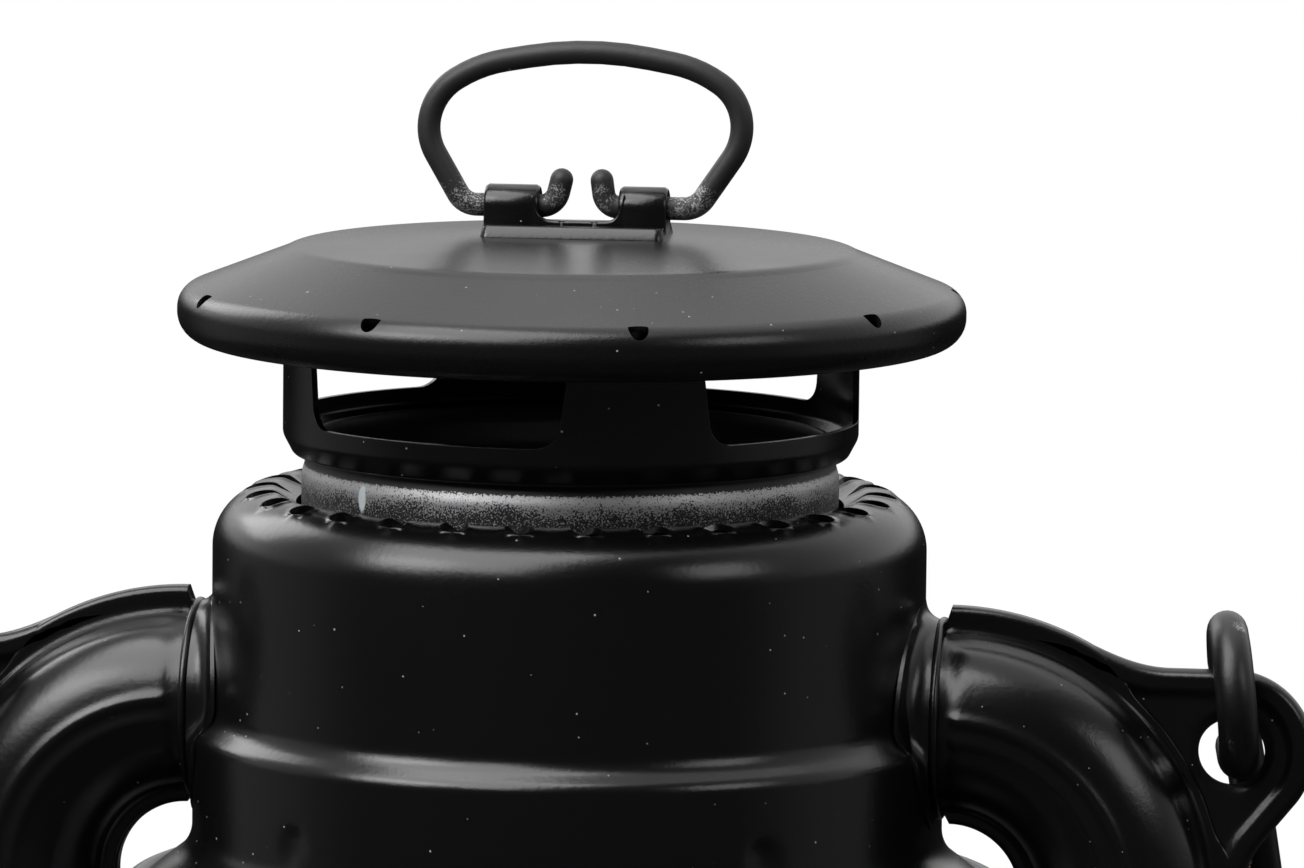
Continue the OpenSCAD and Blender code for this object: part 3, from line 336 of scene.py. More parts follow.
def moved_line(line, t):
    """The line moved t to its left: each point moves along the mitre of its two runs."""
    runs = unit(np.diff(line, axis=0))
    normals = np.stack([-runs[:, 1], runs[:, 0]], 1)
    before = np.concatenate([normals[:1], normals])
    after = np.concatenate([normals, normals[-1:]])
    return line + t * (before + after) / (1.0 + (before * after).sum(1, keepdims=True))


def sheet_section(line, t, edge=0.3):
    """A closed outline of sheet of thickness t to the left of a line, with both cut edges rounded off."""
    other = moved_line(line, t)
    first = line[0] - unit(line[1] - line[0]) * edge * abs(t)
    last = line[-1] + unit(line[-1] - line[-2]) * edge * abs(t)
    half = (other[-1] - line[-1]) / 2
    half_back = (line[0] - other[0]) / 2
    return np.concatenate([
        line, [last + half * 0.4, last + half * 1.6],
        other[::-1], [first - half_back * 1.6, first - half_back * 0.4],
    ])


def around(count):
    """Angles in equal steps round a circle."""
    return np.arange(count) * 2 * math.pi / count


def compass(a):
    """Unit directions (cos a, sin a)."""
    return np.stack([np.cos(a), np.sin(a)], -1)


def polar(r, a, z):
    """Points at radius r, angle a and height z about the Z axis."""
    return np.stack(np.broadcast_arrays(r * np.cos(a), r * np.sin(a), z), -1)


def turned(line, count=144):
    """A line of (radius, height) points turned about the Z axis."""
    return polar(line[:, :1], around(count), line[:, 1:])


def carried(path, side, section):
    """A section carried along a path: its first value goes along side × tangent, its second along side,
    which is one direction for a flat path, or one for each of its points."""
    tangent = unit(np.gradient(path, axis=0))
    side = np.broadcast_to(np.asarray(side, float), path.shape)
    across = np.cross(side, tangent)
    return path[:, None] + section[None, :, :1] * across[:, None] + section[None, :, 1:] * side[:, None]


def circle(r, count=24):
    """Points of a circle."""
    return r * compass(around(count))


def wire_grid(path, side, r, count=24, rings=6):
    """A round wire along a path. Half balls close its ends, rings that shrink by cos and move by sin."""
    grid = carried(path, side, circle(r, count))
    turns = np.arange(1, rings + 1) * math.pi / 2 / rings

    def ball(ring, centre, out):
        scale = np.cos(turns)[:, None, None]
        return centre + (ring - centre)[None] * scale + r * np.sin(turns)[:, None, None] * out

    head = ball(grid[0], path[0], unit(path[0] - path[1]))[::-1]
    tail = ball(grid[-1], path[-1], unit(path[-1] - path[-2]))
    return np.concatenate([head, grid, tail])


def placed(points, matrix):
    """Points of any grid moved by a 4 x 4 matrix."""
    matrix = np.array(matrix)
    return points @ matrix[:3, :3].T + matrix[:3, 3]


def flipped(points, axis):
    """The mirror image of a grid across the plane square to an axis, 0 for X and 1 for Y."""
    points = points.copy()
    points[..., axis] *= -1.0
    return points


def grid_faces(rows, columns, wrap_rows, wrap_columns):
    """Quads of a grid of points, joined round where it wraps."""
    index = np.arange(rows * columns).reshape(rows, columns)
    if wrap_rows:
        index = np.concatenate([index, index[:1]])
    if wrap_columns:
        index = np.concatenate([index, index[:, :1]], 1)
    return np.stack([index[:-1, :-1], index[1:, :-1], index[1:, 1:], index[:-1, 1:]], 2).reshape(-1, 4)


def sheet(grid):
    """A grid that is open on all sides."""
    return grid, False, False


def pipe(grid):
    """A grid whose columns run round, such as a wire."""
    return grid, False, True


def ring(grid):
    """A grid that closes both ways, such as a turned sheet with its thickness."""
    return grid, True, True


def piece(name, parts, finish, sharp=40.0, outward=None):
    """A mesh object from grids. Points that meet are merged. A closed surface has its normals turned out,
    and an open one is turned so that most faces look away from the point given as outward."""
    points, faces, start = [], [], 0
    for grid, wrap_rows, wrap_columns in parts:
        rows, columns = grid.shape[:2]
        points.append(grid.reshape(-1, 3))
        faces.append(grid_faces(rows, columns, wrap_rows, wrap_columns) + start)
        start += rows * columns
    mesh = bpy.data.meshes.new(name)
    mesh.from_pydata(np.concatenate(points).tolist(), [], np.concatenate(faces).tolist())
    work = bmesh.new()
    work.from_mesh(mesh)
    bmesh.ops.remove_doubles(work, verts=work.verts, dist=2e-6)
    bmesh.ops.dissolve_degenerate(work, edges=work.edges, dist=1e-6)
    if outward is None:
        bmesh.ops.holes_fill(work, edges=[e for e in work.edges if e.is_boundary])
    bmesh.ops.recalc_face_normals(work, faces=work.faces)
    if outward is not None:
        inner = Vector(outward)
        facing = sum(f.normal.dot(f.calc_center_median() - inner) * f.calc_area() for f in work.faces)
        if facing < 0.0:
            bmesh.ops.reverse_faces(work, faces=work.faces)
    work.to_mesh(mesh)
    work.free()
    mesh.shade_smooth()
    mesh.set_sharp_from_angle(angle=math.radians(sharp))
    made = bpy.data.objects.new(name, mesh)
    bpy.context.scene.collection.objects.link(made)
    mesh.materials.append(finish)
    return made


def thicken(made, thickness):
    """Gives an open surface its sheet thickness, to the inside."""
    solid = made.modifiers.new("thickness", "SOLIDIFY")
    solid.thickness = thickness
    solid.offset = -1.0
    solid.use_even_offset = False


def ease(made, width, angle):
    """Rounds the sharp edges of a piece by a narrow bevel."""
    bevel = made.modifiers.new("edges", "BEVEL")
    bevel.width = width
    bevel.segments = 2
    bevel.limit_method = "ANGLE"
    bevel.angle_limit = math.radians(angle)
    bevel.harden_normals = True


def fitted(name, parts, body, slot, node, look=None, sharp=40.0, outward=None, thick=0.0, edge=0.0):
    """A piece that rides on a body, has the finish of its slot or another look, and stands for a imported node.
    A sheet is made thick, and edges sharper than an angle are eased to a width of edge."""
    made = piece(name, parts, LOOKS[look or slot], sharp, outward)
    if thick:
        thicken(made, thick)
    if edge:
        ease(made, edge, sharp)
    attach(made, body)
    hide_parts(node)


class Value:
    """A shader value. Sums, products and comparisons add Math nodes, so a pattern reads as a formula."""

    def __init__(self, recipe, socket):
        self.recipe = recipe
        self.socket = socket

    def math(self, operation, *values):
        """A Math node on this value and others, in the order given."""
        return self.recipe.out("ShaderNodeMath", {"operation": operation}, dict(enumerate(values)))

    def __add__(self, other):
        return self.math("ADD", self, other)

    __radd__ = __add__

    def __sub__(self, other):
        return self.math("SUBTRACT", self, other)

    def __rsub__(self, other):
        return self.math("SUBTRACT", other, self)

    def __mul__(self, other):
        return self.math("MULTIPLY", self, other)

    __rmul__ = __mul__

    def __truediv__(self, other):
        return self.math("DIVIDE", self, other)

    def __pow__(self, other):
        return self.math("POWER", self, other)

    def over(self, limit):
        """1 where the value is over the limit, and 0 elsewhere."""
        return self.math("GREATER_THAN", self, limit)

    def step(self, edge_a, edge_b):
        """0 before edge_a, 1 after edge_b, and an S-curve between them."""
        settings = {"interpolation_type": "SMOOTHSTEP", "clamp": True}
        return self.recipe.out("ShaderNodeMapRange", settings, {0: self, 1: edge_a, 2: edge_b, 3: 0, 4: 1})


class Recipe:
    """The node tree of a new material or world."""

    def __init__(self, name, kind="materials"):
        self.owner = getattr(bpy.data, kind).new(name)
        self.owner.use_nodes = True
        self.tree = self.owner.node_tree
        self.tree.nodes.clear()

    def node(self, kind, settings=None, inputs=None):
        """Adds a node. Its settings come first, then the values or links of its sockets."""
        made = self.tree.nodes.new(kind)
        for key, value in (settings or {}).items():
            setattr(made, key, value)
        for key, value in (inputs or {}).items():
            if isinstance(value, Value):
                self.tree.links.new(value.socket, made.inputs[key])
            else:
                made.inputs[key].default_value = value
        return made

    def out(self, kind, settings=None, inputs=None, output=0):
        """Adds a node and gives one of its outputs as a value."""
        return Value(self, self.node(kind, settings, inputs).outputs[output])

    def place(self):
        """Object coordinates, in metres."""
        return self.out("ShaderNodeTexCoord", output="Object")

    def vector(self, operation, *values, output=0):
        """A Vector Math node on places or directions. Its second output is a plain number."""
        return self.out("ShaderNodeVectorMath", {"operation": operation}, dict(enumerate(values)), output)

    def rays(self):
        """1 for rays from the camera, through glass and off a shiny surface, each 0 for other rays."""
        path = self.node("ShaderNodeLightPath")
        names = ("Is Camera Ray", "Is Transmission Ray", "Is Glossy Ray")
        return [Value(self, path.outputs[name]) for name in names]

    def axes(self, vector):
        """The three parts of a vector."""
        parts = self.node("ShaderNodeSeparateXYZ", None, {0: vector})
        return [Value(self, parts.outputs[i]) for i in range(3)]

    def noise(self, vector, size, detail=2.0):
        """Cloudy noise whose features are about size metres across."""
        inputs = {"Vector": vector, "Scale": 1.0 / size, "Detail": detail}
        return self.out("ShaderNodeTexNoise", None, inputs)

    def mix(self, factor, first, second):
        """A colour between two colours."""
        inputs = {0: factor, 6: opaque(first), 7: opaque(second)}
        return self.out("ShaderNodeMix", {"data_type": "RGBA"}, inputs, output=2)

    def bump(self, height, distance, strength):
        """A normal from a height that is given in parts of distance."""
        inputs = {"Height": height, "Distance": distance, "Strength": strength}
        return self.out("ShaderNodeBump", None, inputs)

    def specks(self, vector, spacing, radius, share):
        """Small round specks: one place to each cell of about spacing, a share of which hold a speck."""
        cells = self.node("ShaderNodeTexVoronoi", None, {"Vector": vector, "Scale": 1.0 / spacing})
        distance = Value(self, cells.outputs["Distance"])
        chance = self.axes(Value(self, cells.outputs["Color"]))
        near = 1.0 - (distance / (radius / spacing * (0.4 + chance[1]))).step(0.6, 1.1)
        return near * chance[0].over(1.0 - share)

    def finish(self, **inputs):
        """Ends the tree in a Principled shader. Names are the sockets' names with _ for a blank."""
        inputs = {k.replace("_", " "): v for k, v in inputs.items()}
        return self.end(self.out("ShaderNodeBsdfPrincipled", None, inputs))

    def end(self, shader, output="ShaderNodeOutputMaterial"):
        """Ends the tree in a shader."""
        self.node(output, None, {"Surface": shader})
        return self.owner


def opaque(colour):
    """A colour with full alpha, or a value as it is."""
    return colour if isinstance(colour, Value) else (*tuple(colour)[:3], 1.0)


def enamel_parts(recipe, looks, dull=0.0):
    """Satin black enamel: a fine orange-peel bump, cloudy gloss and a few pale specks of dust."""
    place = recipe.place()
    peel = recipe.noise(place, 0.55 * MM, 3.0)
    cloud = recipe.noise(place, 14.0 * MM, 3.0)
    fine = recipe.noise(place, 0.16 * MM, 2.0)
    speck = recipe.specks(place, 3.0 * MM, 0.12 * MM, 0.25)
    speck = speck + recipe.specks(place, 1.5 * MM, 0.09 * MM, 0.55)
    colour = recipe.mix(speck * 0.55, looks.enamel, looks.dust)
    rough = looks.enamel_rough + dull + 0.10 * (cloud - 0.5) + 0.10 * (fine - 0.5) + 0.25 * speck
    normal = recipe.bump(peel + 0.5 * fine + 1.5 * speck, 0.02 * MM, 0.8)
    return place, colour, rough, normal


def enamel_finish(looks, name, dull=0.0):
    """Enamel of the pressed pieces."""
    recipe = Recipe(name)
    _, colour, rough, normal = enamel_parts(recipe, looks, dull)
    return recipe.finish(Base_Color=colour, Roughness=rough, Normal=normal)


def worn_wire_finish(looks, name, worn_places, dull=0.14, pale=0.0):
    """Enamel on wire that is rubbed through to speckled steel near given places, each with its reach.
    pale greys all of the enamel with the dust colour, a painted sheen.
    """
    recipe = Recipe(name)
    place, colour, rough, normal = enamel_parts(recipe, looks, dull)
    # pale mixes the dust colour into the whole wire: a painted sheen, not dust
    colour = recipe.mix(pale, colour, looks.dust)
    wear = 0.0
    for spot, reach in worn_places:
        near = 1.0 - recipe.vector("DISTANCE", place, spot, output=1).step(0.35 * reach, reach)
        wear = near.math("MAXIMUM", near, wear)
    grain = recipe.noise(place, 0.17 * MM, 4.0)
    patch = recipe.noise(place, 1.6 * MM, 2.0)
    bare = (0.38 * wear + 0.9 * (grain - 0.5) + 0.5 * (patch - 0.5)).step(0.34, 0.5)
    return recipe.finish(
        Base_Color=recipe.mix(bare * 0.55, colour, looks.steel),
        Metallic=bare * 0.9,
        Roughness=rough + bare * 0.12,
        Normal=normal,
    )


def sleeve_finish(looks, sizes, hood_top):
    """Bare steel with black overspray in fine specks, heavy at the hood's edge. Just under the crown's foot it is
    black as painted shade of the crown's overhang. It is black in the crown and inside, and has one pale drip."""
    recipe = Recipe("bare_sleeve")
    place = recipe.place()
    x, y, z = recipe.axes(place)
    rise = (z - hood_top) / (sizes.crown_foot - hood_top)
    speckle = recipe.noise(place, 0.16 * MM, 3.0)
    cloud = recipe.noise(place, 6.0 * MM, 2.0)
    streak = recipe.noise(place, 1.2 * MM, 2.0)
    inside = 1.0 - ((x * x + y * y) ** 0.5).over(sizes.sleeve_r - 0.5 * MM)
    thin = 0.22 * (rise + 0.9 * (cloud - 0.5)).step(0.2, 0.75) + 0.3 * (0.0 - rise).step(0.1, 0.6)
    # The top fifth of the band, under the crown's foot, turns black: painted shade of the crown's overhang, added
    # to the overspray
    overspray_and_painted_shade = 0.60 - thin + 0.6 * rise.step(0.8, 1.0) + inside
    black = (overspray_and_painted_shade - speckle).step(-0.05, 0.05)
    drip_place = polar(sizes.sleeve_r, math.radians(-132.0), hood_top + 2.0 * MM)
    from_drip = recipe.vector("SUBTRACT", place, drip_place)
    squeezed = recipe.vector("MULTIPLY", from_drip, (1.0, 1.0, 0.4))
    gap = recipe.vector("LENGTH", squeezed, output=1)
    drip = 1.0 - (gap + 0.3 * MM * (streak - 0.5)).step(0.42 * MM, 0.62 * MM)
    colour = recipe.mix(black, [0.7 * c for c in looks.steel], looks.enamel)
    return recipe.finish(
        Base_Color=recipe.mix(drip, colour, (0.55, 0.60, 0.61)),
        Metallic=(1.0 - black) * (1.0 - drip),
        Roughness=0.42 + 0.16 * streak,
        Normal=recipe.bump(speckle + drip, 0.015 * MM, 0.6),
    )


def steel_finish(looks, name, shade, rough):
    """Plain steel sheet with faint drawing lines and dull patches. A shade under 1 darkens it as painted shade."""
    recipe = Recipe(name)
    place = recipe.place()
    cloud = recipe.noise(place, 7.0 * MM, 3.0)
    fine = recipe.noise(place, 0.3 * MM, 3.0)
    colour = recipe.mix(cloud, [shade * c for c in looks.steel], [0.72 * shade * c for c in looks.steel])
    return recipe.finish(
        Base_Color=colour,
        Metallic=1.0,
        Roughness=rough + 0.18 * (cloud - 0.5) + 0.12 * (fine - 0.5),
        Normal=recipe.bump(fine, 0.01 * MM, 0.5),
    )


def brass_finish(looks):
    """Brass plate with brown tarnish in clouds and a fine grain."""
    recipe = Recipe("burner_brass")
    place = recipe.place()
    cloud = recipe.noise(place, 5.0 * MM, 4.0)
    grain = recipe.noise(place, 0.25 * MM, 2.0)
    tarnish = (cloud + 0.2 * (grain - 0.5)).step(0.42, 0.75)
    return recipe.finish(
        Base_Color=recipe.mix(tarnish, looks.brass, (0.24, 0.14, 0.055)),
        Metallic=1.0 - 0.25 * tarnish,
        Roughness=0.27 + 0.22 * tarnish + 0.1 * (grain - 0.5),
        Normal=recipe.bump(grain, 0.01 * MM, 0.5),
    )


def cotton_finish(looks, wick_top):
    """Woven cotton: ribs along the wick crossed by fine threads, burnt black at the top."""
    recipe = Recipe("wick_cotton")
    place = recipe.place()
    turn = (0.0, 0.0, math.radians(45.0))
    x, _, z = recipe.axes(recipe.out("ShaderNodeMapping", None, {"Vector": place, "Rotation": turn}))
    rib = x.math("SINE", x * (2 * math.pi / (0.9 * MM)))
    thread = z.math("SINE", z * (2 * math.pi / (0.5 * MM)))
    fluff = recipe.noise(place, 0.2 * MM, 3.0)
    ragged = 1.5 * MM * (recipe.noise(place, 1.5 * MM) - 0.5)
    burnt = (z + ragged).step(wick_top - 2.4 * MM, wick_top - 1.0 * MM)
    yarn = recipe.mix(fluff, looks.cotton, [0.78 * c for c in looks.cotton])
    return recipe.finish(
        Base_Color=recipe.mix(burnt, yarn, looks.char),
        Roughness=0.92,
        Normal=recipe.bump(rib * thread + fluff, 0.12 * MM, 0.8),
    )


def rubber_finish(looks):
    """Matt rubber with a fine grain."""
    recipe = Recipe("gasket_rubber")
    place = recipe.place()
    grain = recipe.noise(place, 0.4 * MM, 3.0)
    colour = recipe.mix(grain, looks.rubber, [1.6 * c for c in looks.rubber])
    rough = 0.7 + 0.2 * (grain - 0.5)
    return recipe.finish(Base_Color=colour, Roughness=rough, Normal=recipe.bump(grain, 0.03 * MM, 0.5))


def glass_finish(looks):
    """Clear blown glass with a faint ripple."""
    recipe = Recipe("clear_glass")
    place = recipe.place()
    ripple = recipe.noise(place, 9.0 * MM, 1.0)
    smear = recipe.noise(place, 16.0 * MM, 3.0)
    return recipe.finish(
        Base_Color=recipe.mix(smear, looks.glass, [0.97 * c for c in looks.glass]),
        Roughness=0.01 + 0.03 * smear.step(0.55, 0.8),
        IOR=1.47,
        Transmission_Weight=1.0,
        Normal=recipe.bump(ripple, 0.05 * MM, 0.4),
    )


def pierced(line, count, first, half_width, lean, lift=None, columns=8, spread=1.6):
    """A line turned about the Z axis and cut by equal slots. Each sector is two grids, one on each side of
    its slot: column t lies t to the power spread of the way from the slot's edge to the sector's border.
    lift gives the rise of the sheet from the sideways distance to the slot's edge."""
    runs = unit(np.gradient(line, axis=0))
    t = np.linspace(0.0, 1.0, columns) ** spread
    half_pitch = math.pi / count
    grids = []
    for side in (-1.0, 1.0):
        r, z = line[:, :1], line[:, 1:]
        edge = (lean + side * half_width)[:, None] / r
        offset = edge + (side * half_pitch - edge) * t
        if lift:
            rise = lift(np.abs(offset * r - lean[:, None]) - half_width[:, None])
            r, z = r - runs[:, 1:] * rise, z + runs[:, :1] * rise
        for k in range(count):
            grids.append(polar(r, first + 2 * half_pitch * k + offset, z))
    return np.array(grids)


def run_length(line):
    """Distance along a line from its first point."""
    return np.concatenate([[0.0], np.cumsum(np.linalg.norm(np.diff(line, axis=0), axis=1))])


def at_lengths(line, lengths):
    """Points of a line at given distances along it."""
    run = run_length(line)
    return np.stack([np.interp(lengths, run, line[:, i]) for i in range(line.shape[1])], 1)


def with_rows(line, start, end, rows):
    """The line with closer points between two distances along it, spaced as (1 - cos) / 2, so that they
    crowd at both ends."""
    run = run_length(line)
    close = start + (end - start) * (1.0 - np.cos(np.linspace(0.0, math.pi, rows))) / 2
    outside = run[(run < start - 0.05 * MM) | (run > end + 0.05 * MM)]
    lengths = np.sort(np.concatenate([outside, close]))
    return at_lengths(line, lengths), lengths


class LANTERN_OT_cap(bpy.types.Operator):
    """Vent cap: a shallow dome with a raised disc, a rolled rim and D-shaped drain notches"""

    bl_idname = "lantern.cap"
    bl_label = "Cap"

    def execute(self, context):
        s = context.scene.lantern_chimney
        hem_r = s.cap_r - s.rim_hem
        line = finer(bent_line([
            (0.0, s.cap_top),
            (10.0 * MM, s.cap_top, 8.0 * MM),
            (s.disc_r - 1.0 * MM, s.cap_top - 1.1 * MM, 3.0 * MM),
            (s.disc_r, s.cap_top - s.disc_drop, 1.2 * MM),
            (s.cap_r, s.cap_foot + s.rim_rise, 2.3 * MM),
            (s.cap_r, s.cap_foot, 2.7 * MM),
            (hem_r, s.cap_foot, 0.7 * MM),
            (hem_r, s.cap_foot + 4.8 * MM),
        ], math.radians(4.0)), 1.2 * MM)
        start = run_length(line)[np.argmax(line[:, 0] > s.cap_r - s.notch_l)]
        line, run = with_rows(line, start, start + s.notch_l, 16)
        q = np.clip((run - start) / s.notch_l, 0.0, 1.0)
        # A notch is a D: its half width grows as a quarter circle at its blunt end, then closes slowly
        blunt = 0.12
        half = s.notch_half * np.sqrt(np.clip(1.0 - (1.0 - q / blunt).clip(0.0) ** 2, 0.0, 1.0))
        half *= np.sqrt(np.clip(1.0 - ((q - blunt).clip(0.0) / (1.0 - blunt)) ** 2.4, 0.0, 1.0))
        line[0, 0] = AXIS_R
        grids = pierced(line, s.notch_count, s.notch_turn, half, 0.0 * half, columns=13, spread=1.8)
        below = (0.0, 0.0, s.cap_foot - 0.05)
        fitted("vent_cap", [sheet(g) for g in grids], "chimney", "black_enamel", "cap", look="cap",
               sharp=50.0, outward=below, thick=s.gauge, edge=0.12 * MM)
        return {"FINISHED"}


class LANTERN_OT_crown(bpy.types.Operator):
    """Windowed crown: a turned foot, four posts with rounded inner corners and a ring under the cap"""

    bl_idname = "lantern.crown"
    bl_label = "Crown"

    def execute(self, context):
        s = context.scene.lantern_chimney
        sill = s.crown_foot + s.sill_rise
        lintel = sill + s.window_rise
        corner = s.window_corner
        upper_corner = s.upper_corner
        post_columns = 12

        def half_angle(z):
            """Angle from a window's middle to its side edge at height z."""
            return math.asin((s.window_half + s.window_spread * (z - sill) / s.window_rise) / s.crown_r)

        def outline(a, edge, r):
            """How far a window's corner rises at angle a from its middle: r - sqrt(r² - d²), where d is the
            distance into the corner."""
            x = s.crown_r * np.sin(np.clip(np.abs(a), 0.0, edge))
            x0 = s.crown_r * math.sin(edge) - r
            return r - np.sqrt(np.clip(r * r - (x - x0).clip(0.0) ** 2, 0.0, None))

        def row(edge):
            """Angles across one sector: half a post, the window, closer at its corners, and half a post."""
            window = edge * np.sin(np.linspace(-0.5, 0.5, 41) * math.pi)
            post = np.linspace(edge, math.pi / 4, post_columns)[1:]
            return np.concatenate([-post[::-1], window, post])

        foot = bent_line([
            (s.sleeve_r + 0.05 * MM, s.crown_foot + 0.5 * MM),
            (s.crown_r - 1.0 * MM, s.crown_foot + 0.5 * MM, 0.7 * MM),
            (s.crown_r, s.crown_foot + 2.4 * MM, 1.6 * MM),
            (s.crown_r, s.crown_foot + 3.2 * MM),
        ])
        low_edge, high_edge = half_angle(sill + corner), half_angle(lintel - upper_corner)
        low_row, high_row = row(low_edge), row(high_edge)
        inside = np.abs(low_row) <= low_edge + 1e-9
        low_rise = np.where(inside, outline(low_row, low_edge, corner), corner)
        high_fall = np.where(inside, outline(high_row, high_edge, upper_corner), upper_corner)
        v = np.linspace(0.0, 1.0, 7)[:, None]
        parts = []
        for k in range(4):
            turn = s.post_turn + math.pi / 4 + k * math.pi / 2
            below = foot[-1, 1] + (sill + low_rise - foot[-1, 1]) * v
            above = lintel - high_fall + (s.crown_top - lintel + high_fall) * v
            parts += [
                sheet(polar(foot[:, :1], low_row + turn, foot[:, 1:])),
                sheet(polar(s.crown_r, low_row + turn, below)),
                sheet(polar(s.crown_r, high_row + turn, above)),
            ]
            for post in slice(None, post_columns), slice(-post_columns, None):
                a = low_row[post] + (high_row[post] - low_row[post]) * v
                z = sill + corner + (lintel - upper_corner - sill - corner) * v
                parts.append(sheet(polar(s.crown_r, a + turn, z)))
        fitted("chimney_crown_shell", parts, "chimney", "black_enamel", "chimney_crown",
               sharp=50.0, outward=(0.0, 0.0, sill), thick=s.gauge, edge=0.14 * MM)
        return {"FINISHED"}


class LANTERN_OT_sleeve(bpy.types.Operator):
    """Bare sleeve with its flared lip over the globe, and the stop collar on it"""

    bl_idname = "lantern.sleeve"
    bl_label = "Sleeve"

    def execute(self, context):
        s = context.scene.lantern_chimney
        shelf = s.sleeve_foot + 4.0 * MM
        narrow_r = s.sleeve_r - s.sleeve_taper
        line = finer(bent_line([
            (narrow_r, s.sleeve_top),
            (narrow_r, s.crown_foot + 1.0 * MM, 3.0 * MM),
            (s.sleeve_r, s.crown_foot - 1.4 * MM, 3.0 * MM),
            (s.sleeve_r, shelf, 1.0 * MM),
            (s.lip_r, shelf, 1.0 * MM),
            (s.lip_r, s.sleeve_foot),
        ]), 2.0 * MM)
        wall = turned(sheet_section(line, -s.gauge), 160)
        fitted("bare_sleeve", [ring(wall)], "chimney", "bare_steel", "chimney_sleeve", look="sleeve")
        foot = low("chimney_stop_ring")[2]
        stop_r, _, stop_top = high("chimney_stop_ring")
        collar_r = s.sleeve_r + 0.05 * MM
        collar = bent_line([(collar_r, stop_top), (collar_r, foot, 0.7 * MM), (stop_r, foot)])
        wall = turned(sheet_section(collar, s.gauge))
        fitted("stop_collar", [ring(wall)], "chimney", "inner_steel", "chimney_stop_ring")
        return {"FINISHED"}


def saddle(s, ends, top, pivot):
    """Low wall between the bracket's knuckles. Over its length u, from -1 to 1, its edge rises to both
    knuckles as |u| to the power 9, so it is flat between them."""
    overlap, chamfer = 0.6 * MM, 0.15 * MM
    u = np.linspace(-1.0, 1.0, 41)
    left, right = ends[0][1] - overlap, ends[1][0] + overlap
    x = (left + right) / 2 + u * (right - left) / 2
    sill = top + s.bracket_t + 0.1 * MM
    edge = sill + (pivot + 0.75 * s.knuckle_r - sill) * np.abs(u) ** 9
    foot = np.full_like(x, top)
    front, back = -s.knuckle_r - 0.02 * MM, -s.knuckle_r + 0.7 * MM
    y = np.array([front, front, front + chamfer, back - chamfer, back, back])
    z = np.stack([foot, edge - chamfer, edge, edge, edge - chamfer, foot], 1)
    return np.stack(np.broadcast_arrays(x[:, None], y, z), 2)


def sloped_plate(centre, half, r):
    """A plate with corners of radius r, whose front and back slope in by r towards its top: one outline,
    scaled at five heights, from a point below to a point above."""
    corners = bent_line([
        (0.0, -half[1]), (half[0], -half[1], r), (half[0], half[1], r),
        (-half[0], half[1], r), (-half[0], -half[1], r), (0.0, -half[1]),
    ])[:-1]
    inset = np.array([0.15 * MM / half[0], r / half[1]])
    none, full = np.zeros(2), np.ones(2)
    scale = np.array([none, full, full, full - inset, none])
    heights = np.array([-half[2], -half[2], 0.4 * MM - half[2], half[2], half[2]])
    z = np.repeat(heights[:, None, None], len(corners), 1)
    return np.concatenate([corners * scale[:, None], z], 2) + np.array(centre)


class LANTERN_OT_ring(bpy.types.Operator):
    """Wire ring with turned-up tails, and its bracket with two rolled knuckles"""

    bl_idname = "lantern.ring"
    bl_label = "Ring"

    def execute(self, context):
        s = context.scene.lantern_wires
        pivot = joint("ring_fold")["pos_m"][2]
        half = [
            (0.8 * s.tail_x, s.tail_rise),
            (s.tail_x, 0.0, 1.6 * MM),
            (s.bracket_half + s.ring_gap, 0.0, 2.2 * MM),
            (s.ring_half, 0.62 * s.ring_rise, 5.2 * MM),
            (0.62 * s.ring_half, s.ring_rise - 1.3 * MM, 12.0 * MM),
        ]
        other = [(-p[0], *p[1:]) for p in half]
        crest = (0.0, s.ring_rise + 0.55 * MM, 33.0 * MM)
        flat = finer(bent_line([*half, crest, *other[::-1]]), 0.8 * MM)
        x = flat[:, 0] + s.ring_shift + math.tan(s.ring_lean) * flat[:, 1]
        path = np.stack([x, 0.0 * x, flat[:, 1] + pivot], 1)
        wire = wire_grid(path, (0.0, 1.0, 0.0), s.ring_r)
        fitted("ring_wire", [pipe(wire)], "ring", "wire_enamel", "ring_handle", look="ring")
        top = low("ring_bracket")[2]
        r, bend = s.knuckle_r, s.knuckle_r - 0.02 * MM
        outer = bent_line([(-r, top), (-r, pivot + r, bend), (r, pivot + r, bend), (r, top)])
        tail = s.tail_x + s.knuckle_gap
        ends = (
            (s.bracket_shift - s.bracket_half, s.ring_shift - tail),
            (s.ring_shift + tail, s.bracket_shift + s.bracket_half),
        )
        centre = (s.bracket_shift, 0.0, top + 0.28 * s.bracket_t)
        plate = sloped_plate(centre, (s.bracket_half, s.bracket_depth, s.bracket_t / 2), 0.8 * MM)
        parts = [pipe(plate), pipe(saddle(s, ends, top, pivot))]
        middle = np.array([0.0, pivot])
        shrink = np.array([0.90, 1.0, 1.0, 0.90])[:, None, None]
        bulge = 0.35 * MM
        for start, end in ends:
            x = np.array([start, start + bulge, end - bulge, end])
            section = middle + (outer - middle) * shrink
            parts.append(pipe(np.concatenate([np.repeat(x[:, None, None], len(outer), 1), section], 2)))
        fitted("ring_bracket_plate", parts, "chimney", "black_enamel", "ring_bracket",
               sharp=45.0, edge=0.2 * MM)
        return {"FINISHED"}


def hood_edge(s):
    """Radius and height of the middle of the hood's rolled lower edge."""
    return high("hood")[1] - s.edge_r, low("hood")[2] + s.edge_r


def hood_line(s):
    """The hood's outline from its mouth over the shoulder, the wall and the step to its flared edge."""
    step = s.top - s.step_drop
    skirt_r = s.wall_r + s.step_w
    return finer(bent_line([
        (s.mouth_r, s.top - 0.3 * MM),
        (s.crest_r, s.top + s.crest_rise, 1.0 * MM),
        (s.wall_r, s.top + s.crest_rise, s.shoulder_r),
        (s.wall_r, step, 2.6 * MM),
        (skirt_r, step - s.step_w, 1.8 * MM),
        (skirt_r, s.top - s.flare_drop, 4.0 * MM),
        hood_edge(s),
    ], math.radians(3.0)), 0.7 * MM)


